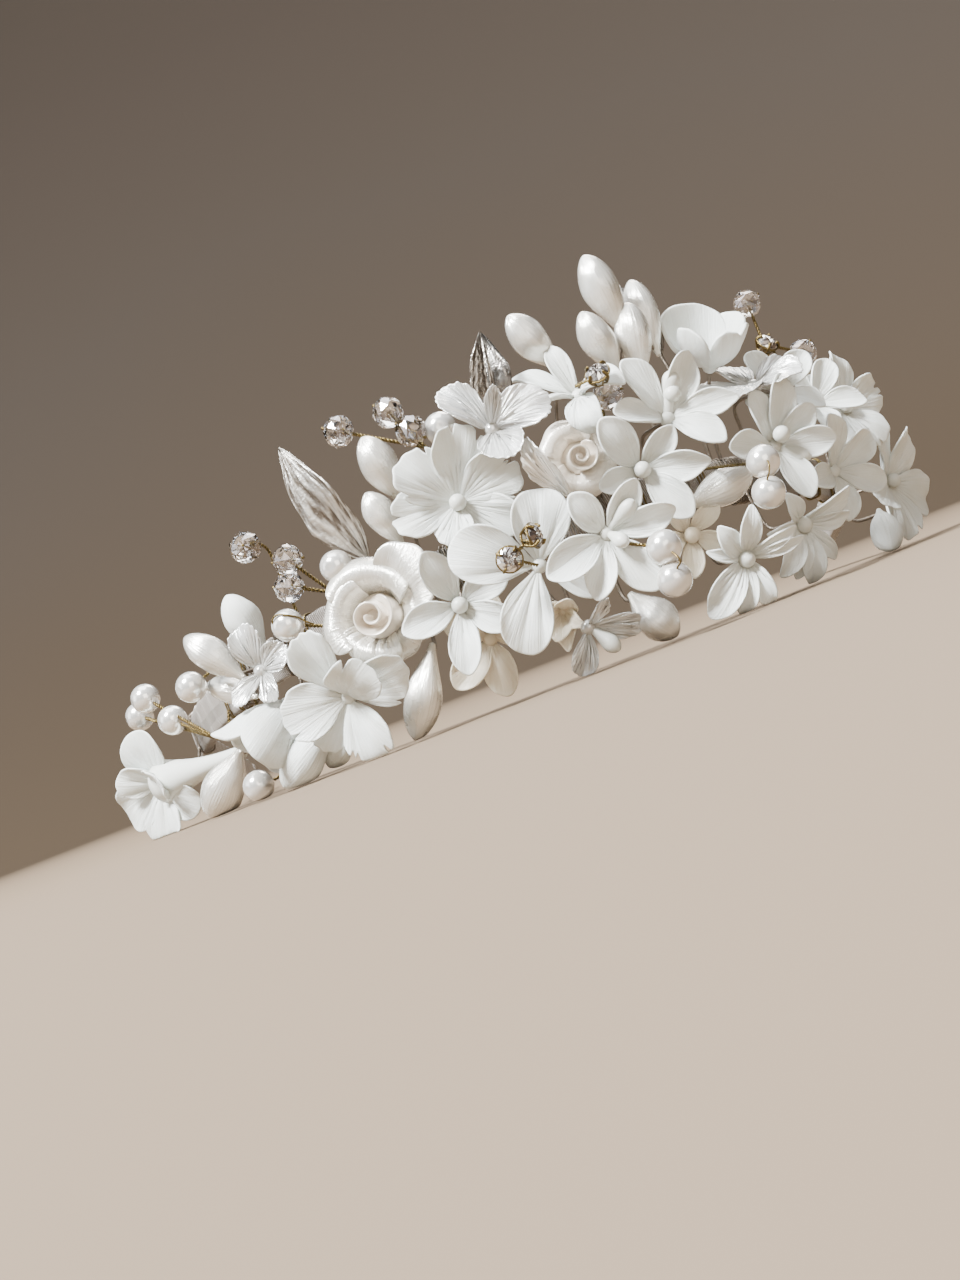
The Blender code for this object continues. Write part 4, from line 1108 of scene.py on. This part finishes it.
for order, (node, rose) in enumerate(roses.items()):
    piece = Piece(node, rose["finish"], stemWire, creamPearlClay)
    size = rose["size"]
    centre = place(*rose["place"])
    facing = direction(rose["place"][0] + rose["face"], rose["lift"])
    root = centre - facing * rosePart["rootBehind"]
    for number, row in enumerate(rose["petals"]):
        addPetal(piece, row, root, facing, "rose", 400 + order * 50 + number)
    core = ballSurface(centre + facing * size * rosePart["coreAhead"], size * rosePart["core"], facing)
    piece.add(spiralSurface(centre, facing, size), wrap=True, finish=2)
    piece.add(core, wrap=True, finish=2)
    addStem(piece, node, centre - facing * rosePart["stemBehind"], 1)
    piece.build()
print("roses made")


# Buds

buds = [
    # node, root place, tip place, widest mm, clay
    ("buds_left", (-40, 8, 22.5), (-46, 11, 34.2), 6.6, "pearl"),
    ("buds_left", (-40.5, 6, 18.5), (-49, 7, 24.5), 5.4, "pearl"),
    ("bud_left_matte", (-36, 6, 25.5), (-37, 9, 38), 6.8, "matte"),
    ("bud_left_low", (-47, 7, 10.8), (-55.5, 11.5, 0.4), 8.6, "pearl"),
    ("buds_low_matte", (-28.5, 9, 9), (-37, 13, 1), 7.6, "matte"),
    ("buds_low_matte", (-27.5, 6, 7), (-32.5, 7, 1.5), 5.0, "matte"),
    ("bud_hanging", (-12.2, 7.5, 15.6), (-18.3, 10, 0.4), 6.8, "pearl"),
    ("buds_upper_left", (-9.3, 6, 40), (-11, 8, 54), 7.0, "pearl"),
    ("buds_upper_left", (-11.2, 7, 33), (-13, 9, 44.5), 6.0, "pearl"),
    ("bud_spray_top", (27.4, 4, 55), (26.3, 3, 72), 7.2, "pearl"),
    ("bud_spray_top", (23.4, 6, 47.5), (21.4, 6, 61.5), 6.4, "pearl"),
    ("bud_spray_top", (26.5, 5, 45.5), (29.0, 5, 61), 6.6, "pearl"),
    ("bud_spray_top", (32.0, 3, 50), (34.2, 0, 66), 6.2, "pearl"),
    ("bud_top_left", (16.6, 3, 53), (12.0, 5, 65.2), 6.6, "pearl"),
    ("bud_right_pearly", (23.6, 10, 21.6), (33.6, 12.5, 23.6), 6.6, "pearl"),
    ("bud_low_right", (12.6, 9, 11), (15.6, 12, 0.8), 7.6, "pearl"),
    ("bud_right_end", (65, 9, 9), (57, 12, 0.8), 6.2, "matte"),
]
budShape = {
    "rows": 38,
    "columns": 44,
    "fullest": 0.60,   # share of its length where it is widest
    "neck": 0.16,      # its radius at the root, by its widest
    "folds": 2,
    "depth": 0.09,
    "edge": 0.10,
    "twist": 0.30,
    "dimple": 0.03,
    "bow": 0.9,         # mm
    "wireInside": 1.5,  # from the root to where its wire begins
}
budClays = {"matte": (matteClay, "matte_clay"), "pearl": (pearlClay, "pearl_clay")}


def budSurface(start, end, wide, seed):
    # A drop: its radius swells from a thin neck like a sine, and closes past its fullest
    # place like a blunt arch. A sawtooth that turns round it lets two wrapped petals
    # overlap along long slanting edges.
    dice = np.random.default_rng(seed)
    share = (1 - np.cos(np.linspace(0, pi, budShape["rows"]))) / 2
    full = budShape["fullest"]
    neck = budShape["neck"]
    swell = neck + (1 - neck) * np.sin(pi / 2 * np.clip(share / full, 0, 1)) ** 1.5
    close = np.clip(1 - np.clip((share - full) / (1 - full), 0, 1) ** 1.9, 0, 1) ** 0.64
    profile = wide / 2 * swell * close * np.minimum(1, share / 0.012)
    profile, share = profile[:, None], share[:, None]
    turn = evenTurns(budShape["columns"])[None]
    slant = budShape["twist"] * share * 2 * pi + dice.uniform(0, 2 * pi)
    ridge = overlapSteps((turn + slant) * budShape["folds"] / (2 * pi), budShape["edge"]) - 0.5
    dimple = budShape["dimple"] * np.sin(3 * turn + 9 * share + dice.uniform(0, 6))
    radius = profile * (1 + (budShape["depth"] * ridge + dimple) * np.sin(pi * share) ** 0.6)
    bow = np.cross(unit(end - start), (0.0, 0.0, 1.0)) * dice.uniform(-budShape["bow"], budShape["bow"])
    path = start + (end - start) * share + np.sin(pi * share) * bow
    outline = np.stack((np.cos(turn) * radius, np.sin(turn) * radius), -1)
    length = np.linalg.norm(end - start)
    flow = np.stack(np.broadcast_arrays(share * length, turn * wide * 0.5, np.float64(seed % 89)), -1)
    return sweep(path, *pathSides(path), outline), flow


def grouped(rows):
    # The rows of a table by the node that they begin with
    groups = {}
    for node, *row in rows:
        groups.setdefault(node, []).append(row)
    return groups


for order, (node, rows) in enumerate(grouped(buds).items()):
    finish, slotName = budClays[rows[0][3]]
    piece = Piece(node, finish, stemWire)
    joints = []
    for number, (root, tip, wide, clay) in enumerate(rows):
        start, end = place(*root), place(*tip)
        grid, flow = budSurface(start, end, wide, 700 + order * 11 + number)
        piece.add(grid, flow, wrap=True)
        joints.append(start + unit(end - start) * budShape["wireInside"])
        if number:
            branch = smoothPath([joints[number], joints[0]])
            piece.add(wireSurface(branch, wires["branch"]), wrap=True, finish=1)
        else:
            addStem(piece, node, joints[0], 1)
    piece.build()
print("buds made:", len(buds))


# Leaves

leaves = {
    # hollow sets how dark the wrinkles' hollows get: patina and painted shade
    "leaf_left": dict(root=(-17, 3.5, 34), tip=(-22, 7, 58.5), wide=8.6, crease=0.21, hollow=0.6,
                      finish=agedSilver),
    # leaf_middle and leaf_back take the darker copy of the silver, painted shade
    "leaf_middle": dict(root=(5.5, 4, 47), tip=(8, 4, 64.5), wide=7.6, crease=0.08, hollow=0.5,
                        finish=shadedSilver),
    "leaf_back": dict(root=(37, -3, 51), tip=(34, -8, 69.5), wide=8.0, crease=0.2, hollow=0.5,
                      finish=shadedSilver),
}
leafWrinkles = [
    # height, waves across, waves along, which of three random starts, how far they wander
    (0.40, 4.2, 1.0, 0, 0.9),
    (0.40, 9.5, -3.6, 1, 1.5),
    (0.22, 7.0, 19.0, 1, 2.2),
    (0.24, 19.0, 9.0, 2, 2.4),
]
leafShape = {
    "rows": 96,
    "columns": 96,
    "veins": 0.26,
    "midrib": 0.6,
    "midribWidth": 0.07,
    "keel": 0.38,        # how much it rises to both sides, by the half width
    "bow": 0.08,         # by its length
    "sway": 0.45,
    "thick": 0.26,
    "wireInside": 1.5,
}


def leafSurface(start, end, facing, leaf, seed):
    # A pointed leaf: half width follows a sine of the share along it. It is folded up
    # along its midrib and bowed. Side veins run forward from the midrib, and long sharp
    # wrinkles, each one less twice a sine's size, lie between them.
    starts = np.random.default_rng(seed).uniform(0, 3, 3)
    length = np.linalg.norm(end - start)
    ahead = unit(end - start)
    side = unit(np.cross(facing, ahead))
    face = np.cross(ahead, side)
    share = np.linspace(0, 1, leafShape["rows"])[:, None]
    turn = evenTurns(leafShape["columns"])[None]
    across = np.sign(np.cos(turn)) * np.abs(np.cos(turn)) ** 0.9
    half = np.maximum(leaf["wide"] / 2 * np.sin(pi * share ** 0.8) ** 0.9, 0.02)
    half = half * np.minimum(1, share / 0.02) * np.minimum(1, (1 - share) / 0.02)
    half = half * (1 + 0.04 * np.sin(share * 17 + across * 2))
    veins = 1 - 2 * np.abs(np.sin(13 * share - 5.0 * np.abs(across) + starts[2]))
    crease = leafShape["veins"] * veins ** 3
    for height, wavesAcross, wavesAlong, which, wander in leafWrinkles:
        wave = wavesAcross * across + wavesAlong * share + starts[which]
        wave = wave + wander * np.sin(5 * share + 2 * across + starts[which])
        crease = crease + height * (1 - 2 * np.abs(np.sin(wave)))
    midrib = leafShape["midrib"] * np.exp(-(across / leafShape["midribWidth"]) ** 2)
    lift = (leaf["crease"] * crease + midrib) * np.sin(pi * share) ** 0.5 * np.minimum(1, half / 1.5)
    lift = lift + leafShape["keel"] * half * np.abs(across) + leafShape["bow"] * length * np.sin(pi * share)
    lift = lift + leafShape["sway"] * np.sin(pi * share * 2.2 + 1.0) * across
    body = np.sin(turn) * np.sqrt(np.abs(np.sin(turn)))
    lift = lift + leafShape["thick"] * body * np.minimum(1, half / 0.4)
    middle = start + share[..., None] * length * ahead
    grid = middle + (across * half)[..., None] * side + lift[..., None] * face
    # The wrinkles' hollows, for the metal to darken: patina there, and painted shade
    hollow = np.clip(-leaf["hollow"] * crease - 0.02, 0, 1)
    return grid, np.stack(np.broadcast_arrays(share * length, across * half, hollow), -1)


for order, (node, leaf) in enumerate(leaves.items()):
    piece = Piece(node, leaf["finish"], stemWire)
    start, end = place(*leaf["root"]), place(*leaf["tip"])
    grid, flow = leafSurface(start, end, direction(leaf["root"][0]), leaf, 60 + order)
    piece.add(grid, flow, wrap=True)
    addStem(piece, node, start + unit(end - start) * leafShape["wireInside"], 1)
    piece.build()

pearlyPetal = {
    "root": (8.9, 18.5, 29.4), "tip": (5.9, 20.0, 40.6), "face": -30, "lift": 0.35, "length": 14.2,
    "changes": dict(outward=0.0, rise=16, tip=-12, curl=-50, spread=27, cup=80, point=0.15, round=0.5,
                    turn=-10),
}


def addPearlyPetal():
    # A single petal from its root towards its tip, turned to face as far as that allows
    piece = Piece("petal_pearly", pearlLustre, stemWire)
    start = place(*pearlyPetal["root"])
    ahead = unit(place(*pearlyPetal["tip"]) - start)
    facing = direction(pearlyPetal["face"]) + np.array((0.0, 0.0, pearlyPetal["lift"]))
    facing = unit(facing - ahead * (facing @ ahead))
    upward, side = flowerAxes(facing)
    bearing = degrees(atan2(ahead @ side, ahead @ upward))
    row = petal(bearing, pearlyPetal["length"], **pearlyPetal["changes"])
    addPetal(piece, row, start, facing, "pearly", 91)
    addStem(piece, "petal_pearly", start + ahead * leafShape["wireInside"], 1)
    piece.build()


addPearlyPetal()
print("leaves made")


# Pearls, crystals and set stones

beads = [
    # node, kind, place, and face and lift of its hole or its top from the outward line
    ("pearls_left_end", "pearl", (-66, 10, 27.6), 0, 0),
    ("pearls_left_end", "pearl", (-74, 10.5, 25.2), 0, 0),
    ("pearls_left_end", "pearl", (-62, 8, 21.3), 0, 0),
    ("pearl_left", "pearl", (-47.5, 12, 25), 0, 0),
    ("pearl_left_low", "pearl", (-43.5, 10, 3), 0, 0),
    ("pearl_gold_wire", "pearl", (-28, 12, 28), 0, 0),
    ("pearl_by_rose", "pearl", (-20.1, 8.5, 34.5), 0, 0),
    ("pearl_behind", "pearl", (-1.5, 5, 50.5), 0, 0),
    ("pearls_right", "pearl", (29.2, 24, 23.7), 0, -10),
    ("pearls_right", "pearl", (28.4, 24, 18.3), 0, 80),
    ("pearls_front", "pearl", (13.3, 31.8, 15.5), 0, -10),
    ("pearls_front", "pearl", (13.1, 31.8, 10), 0, 80),
    ("crystal_left", "crystal", (-30.9, 9.5, 44.3), 32, 4),
    ("crystals_left", "crystal", (-25.9, 9, 39.0), 105, -12),
    ("crystals_left", "crystal", (-26.9, 9.5, 34.4), 105, -20),
    ("crystals_upper", "crystal", (-13.5, 8, 56.5), 103, -32),
    ("crystals_upper", "crystal", (-7, 6, 56.5), 80, -46),
    ("crystals_upper", "crystal", (-5, 9, 51.5), 90, -46),
    ("crystal_back", "crystal", (64, 0, 58), 30, 20),
    ("crystals_right", "stone", (60, 2, 48), -20, 30),
    ("crystals_right", "crystal", (67, 6, 44.5), 20, 40),
    ("stone_lily", "stone", (16.8, 17.5, 47.9), -30, 42),
    ("crystal_lily", "crystal", (20, 8, 45.4), 40, 0),
    ("stones_front", "stone", (0.1, 24, 23.2), 0, -5),
    ("stones_front", "stone", (2.9, 24.5, 25.4), 60, 0),
    ("stone_right_end", "stone", (76, 6, 27), 20, 20),
]
beadLooks = {
    "pearl": (pearlLustre, "pearl"),
    "crystal": (clearCrystal, "crystal"),
    "stone": (clearStone, "set_stone"),
}
beadSize = {
    "pearl": 3.0,
    "columns": 48,
    "rows": 30,
    "dent": 0.07,
    "crystalSides": 6,
    "stoneSides": 8,
    "wireEnds": (2.3, 2.7, 3.1),  # how far out a crystal's wire ends run
    "wireEnd": 0.26,              # and their radius
}
crystalRings = [
    # radius and height of a ring's even corners, then of its odd ones
    (0.0, 2.6, 0.0, 2.6), (1.05, 2.6, 1.15, 2.5), (2.2, 1.85, 2.5, 1.35), (3.0, 0.30, 3.0, -0.30),
    (2.5, -1.35, 2.2, -1.85), (1.15, -2.5, 1.05, -2.6), (0.0, -2.6, 0.0, -2.6),
]
stoneRings = [
    (0.0, 1.45, 0.0, 1.45), (0.55, 1.70, 0.65, 1.46), (1.15, 1.46, 1.05, 1.66), (1.55, 1.30, 1.80, 1.02),
    (2.15, 0.72, 2.1, 0.78), (2.15, 0.52, 2.1, 0.50), (1.2, -0.35, 1.35, -0.25), (0.0, -1.1, 0.0, -1.1),
]
setting = {
    # radius and height from the stone's middle, then a wire's own radius
    "girdle": (2.2, 0.42, 0.20),
    "base": (1.25, -1.35, 0.24),
    "struts": 8,
    "strutWire": 0.17,
    "prongs": 4,
    "prongPath": ((1.3, -1.35), (2.35, 0.2), (2.38, 0.95), (1.75, 1.42)),
    "prongWire": 0.27,
    "prongTip": (1.78, 1.40, 0.30),
}


def facetSurface(centre, axis, rings, sides):
    # A cut bead or stone: each ring gives a radius and height for its even corners and for
    # its odd ones, so that the faces between two rings lean to and fro
    upward, side = flowerAxes(axis)
    turn = evenTurns(2 * sides)
    around = np.cos(turn)[:, None] * upward + np.sin(turn)[:, None] * side
    odd = np.arange(2 * sides) % 2
    rings = np.array(rings)
    radii = rings[:, (0, 2)][:, odd]
    highs = rings[:, (1, 3)][:, odd]
    return centre + radii[..., None] * around + highs[..., None] * axis


def addSetting(piece, centre, axis, metal):
    # The stone's cup: a ring under the girdle, a ring at the base, struts between them that
    # zigzag, and four prongs bent over the stone's edge
    upward, side = flowerAxes(axis)

    def ringPoint(turn, radius, height):
        turn = np.asarray(turn, float)[..., None]
        return centre + radius * (np.cos(turn) * upward + np.sin(turn) * side) + height * axis

    turn = evenTurns(40)
    outward = ringPoint(turn, 1.0, 0) - centre
    girdle, girdleHigh = setting["girdle"][:2]
    base, baseHigh = setting["base"][:2]
    for radius, height, thick in (setting["girdle"], setting["base"]):
        path = ringPoint(turn, radius, height)
        grid = sweep(path, outward, np.broadcast_to(axis, path.shape), circle(thick, 8))
        piece.add(grid, wrap=True, loop=True, finish=metal)
    stride = 2 * pi / setting["struts"]
    for number in range(setting["struts"]):
        lean = stride / 2 if number % 2 else -stride / 2
        low = ringPoint(number * stride, base, baseHigh)
        high = ringPoint(number * stride + lean, girdle, girdleHigh)
        strut = smoothPath([low, high], 0.3, 0.3)
        piece.add(wireSurface(strut, setting["strutWire"], 5), wrap=True, finish=metal)
    tipRadius, tipHigh, tipSize = setting["prongTip"]
    for number in range(setting["prongs"]):
        angle = (number + 0.5) * 2 * pi / setting["prongs"]
        corners = [ringPoint(angle, radius, height) for radius, height in setting["prongPath"]]
        prong = smoothPath(corners, 0.15, 0.35)
        tip = ballSurface(ringPoint(angle, tipRadius, tipHigh), tipSize, axis, 10, 6)
        piece.add(wireSurface(prong, setting["prongWire"]), wrap=True, finish=metal)
        piece.add(tip, wrap=True, finish=metal)


def addBead(piece, kind, centre, axis, finish, metal):
    if kind == "pearl":
        columns, rows = beadSize["columns"], beadSize["rows"]
        ball = ballSurface(centre, beadSize["pearl"], axis, columns, rows, beadSize["dent"])
        piece.add(ball, wrap=True, finish=finish)
    if kind == "crystal":
        cut = facetSurface(centre, axis, crystalRings, beadSize["crystalSides"])
        piece.add(cut, wrap=True, finish=finish, facets=True)
        # A short end of wire stands out of each side of the hole
        for way in (-1, 1):
            ends = np.stack([centre + axis * way * far for far in beadSize["wireEnds"]])
            piece.add(wireSurface(ends, beadSize["wireEnd"], 8), wrap=True, finish=metal)
    if kind == "stone":
        cut = facetSurface(centre, axis, stoneRings, beadSize["stoneSides"])
        piece.add(cut, wrap=True, finish=finish, facets=True)
        addSetting(piece, centre, axis, metal)


beadWires = {
    # node: a wire that shows, as corners of bead number, then mm right of that bead's
    # middle, towards the front and up
    "pearls_right": [(0, 0.2, 2.6, -0.1), (0, 0.1, 4.0, -0.9), (0, -0.5, 3.9, -2.6), (1, 0.1, 3.0, 2.3),
                     (1, 0.2, 1.6, 1.9)],
    "pearls_front": [(0, 0.5, 2.3, -1.0), (0, 1.0, 3.7, -2.2), (0, 1.4, 3.6, -3.4), (1, 0.8, 3.1, 1.8),
                     (1, 0.7, 2.0, 1.2)],
    "pearl_gold_wire": [(0, -2.3, 1.2, 0.9), (0, -2.3, 2.0, 1.7), (0, -1.1, 2.3, 2.4), (0, 0.3, 2.8, 1.8),
                        (0, 2.3, 2.4, 0.7), (0, 3.4, 1.2, -0.7), (0, 4.4, 0.4, -1.5)],
}
beadJoints = {
    # node: where its beads' wires meet and its stem begins
    "crystals_upper": (-4.1, 8, 48.0), "crystals_left": (-22.7, 6, 30.8),
    "pearls_left_end": (-52.8, 6, 14.4), "pearl_gold_wire": (-23.9, 6, 24.8),
}
for node, rows in grouped(beads).items():
    kinds = list(dict.fromkeys(row[0] for row in rows))
    metal = len(kinds)
    piece = Piece(node, *[beadLooks[kind][0] for kind in kinds], agedGold)
    spots = [place(*row[1]) for row in rows]
    joint = place(*beadJoints[node]) if node in beadJoints else spots[0]
    for number, (kind, spot, face, lift) in enumerate(rows):
        addBead(piece, kind, spots[number], direction(spot[0] + face, lift), kinds.index(kind), metal)
        if number or node in beadJoints:
            piece.addTwistedPair(smoothPath([joint, spots[number]]), wires["beadStrand"], metal)
    if node in beadWires:
        corners = [spots[number] + (right, -front, up) for number, right, front, up in beadWires[node]]
        piece.add(wireSurface(smoothPath(corners, 0.25, 0.8), wires["binding"]), wrap=True, finish=metal)
    addStem(piece, node, joint, metal, twisted=True)
    piece.build()
print("beads and stones made:", len(beads))


# Stage, lights and camera

bowl = {
    # In metres
    "rings": (0.002, 0.1, 0.4, 0.9),  # on the level floor
    "flat": 1.45,
    "bend": 0.9,
    "bendSteps": 40,
    "tall": 1.0,
    "sides": 96,
    "floorTone": colour(0.15, 0.11, 0.075),
    "wallTone": colour(0.15, 0.122, 0.10),
    "toneRise": (0.22, 0.95),
}


def makeBowl():
    # One sheet turned round the upright axis: a level floor that bends up in a quarter
    # circle into a wall all round, so that every side has the same background
    bend = bowl["bend"]
    turn = np.linspace(0, pi / 2, bowl["bendSteps"])
    run = np.concatenate((bowl["rings"], bowl["flat"] + bend * np.sin(turn), (bowl["flat"] + bend,)))
    rise = np.concatenate((np.zeros(len(bowl["rings"])), bend * (1 - np.cos(turn)), (bend + bowl["tall"],)))
    run, rise = run[:, None], rise[:, None]
    spin = evenTurns(bowl["sides"])
    points = np.stack(np.broadcast_arrays(run * np.cos(spin), run * np.sin(spin), rise), -1)
    index = np.arange(len(run) * len(spin)).reshape(len(run), -1)
    index = np.hstack((index, index[:, :1]))
    quads = np.stack((index[:-1, :-1], index[1:, :-1], index[1:, 1:], index[:-1, 1:]), -1).reshape(-1, 4)
    faces = quads.tolist() + [index[0, :-1].tolist()]
    mesh = bpy.data.meshes.new("studioBowl")
    mesh.from_pydata(points.reshape(-1, 3).tolist(), [], faces)
    mesh.polygons.foreach_set("use_smooth", np.ones(len(faces), bool))
    finish = Finish("studioPaper", {"Roughness": 0.9, "Specular IOR Level": 0.1})
    spots = finish.spots()
    high = finish.parts(spots)[2]
    share = finish.range(high + finish.noise(spots, 1.1, 2.0) * 0.5, *bowl["toneRise"])
    finish.feed("Base Color", finish.mix(share, bowl["floorTone"], bowl["wallTone"]))
    mesh.materials.append(finish.material)
    floor = bpy.data.objects.new("studioBowl", mesh)
    bpy.context.scene.collection.objects.link(floor)


makeBowl()

lightAim = (0, -0.03, 0.03)  # the front of the tiara
lights = {
    # name: its place in metres, its size in metres, watts and colour
    "windowLight": dict(spot=(-0.60, -0.60, 1.16), size=0.36, watts=132.0, tint=(0.955, 0.985, 1.0)),
    "topLight": dict(spot=(0.0, 0.05, 1.25), size=0.9, watts=22.0, tint=(0.93, 0.97, 1.0)),
    "sideLight": dict(spot=(-1.1, -0.15, 0.45), size=0.6, watts=4.0, tint=(0.90, 0.95, 1.0)),
    "fillLight": dict(spot=(0.25, -1.0, 0.35), size=0.6, watts=5.0, tint=(1.0, 0.93, 0.83)),
    "backLight": dict(spot=(0.35, 0.7, 0.9), size=0.5, watts=10.0, tint=(1.0, 0.94, 0.86)),
}
for name, light in lights.items():
    lamp = bpy.data.lights.new(name, "AREA")
    lamp.shape = "SQUARE"
    lamp.size = light["size"]
    lamp.energy = light["watts"]
    lamp.color = light["tint"]
    holder = bpy.data.objects.new(name, lamp)
    aim = Vector(lightAim) - Vector(light["spot"])
    turned = aim.to_track_quat("-Z", "Y").to_matrix().to_4x4()
    holder.matrix_world = Matrix.Translation(light["spot"]) @ turned
    bpy.context.scene.collection.objects.link(holder)

air = {
    # The room: dim and warm low down, brighter and cooler overhead, by the view's height
    "stops": [
        (0.0, colour(0.15, 0.145, 0.135)),
        (0.25, colour(0.33, 0.33, 0.32)),
        (0.9, colour(1.05, 1.08, 1.12)),
    ],
    "strength": 0.22,
}
world = bpy.data.worlds.new("studioAir")
world.use_nodes = True
sky = Nodes(world.node_tree)
high = sky.parts(sky.add("ShaderNodeTexCoord", output="Generated"))[2]
tone = sky.add("ShaderNodeValToRGB", {"stops": air["stops"]}, {0: high})
background = world.node_tree.nodes["Background"]
world.node_tree.links.new(tone.socket, background.inputs["Color"])
background.inputs["Strength"].default_value = air["strength"]
bpy.context.scene.world = world

view = {
    # The photo's view: a long lens near the floor, rolled as the photo is
    "spot": (-9.3, -394.0, 6.0),   # mm from the middle of the band's curve
    "lens": 50.0,
    "sensor": 36.0,
    "nearest": 0.01,
    "roll": radians(21.4),
    "horizonPixels": 39,           # level ground's horizon, below the photo's middle
    "focusPixels": 1777.8,         # the lens in the photo's pixels
}


def placeCamera():
    pitch = atan(view["horizonPixels"] / view["focusPixels"])
    ahead = Vector((0, cos(pitch), sin(pitch)))
    level = Vector((0, -sin(pitch), cos(pitch)))
    right = Vector((1, 0, 0)) * cos(view["roll"]) - level * sin(view["roll"])
    upright = Vector((1, 0, 0)) * sin(view["roll"]) + level * cos(view["roll"])
    camera = bpy.data.cameras.new("photoView")
    camera.lens = view["lens"]
    camera.sensor_width = view["sensor"]
    camera.sensor_fit = "AUTO"
    camera.clip_start = view["nearest"]
    eye = bpy.data.objects.new("photoView", camera)
    pose = Matrix((right, upright, -ahead)).transposed().to_4x4()
    pose.translation = Vector(view["spot"]) * mm + Vector(tiara["middle"])
    eye.matrix_world = pose
    bpy.context.scene.collection.objects.link(eye)
    bpy.context.scene.camera = eye


placeCamera()
print("stage, lights and camera made")
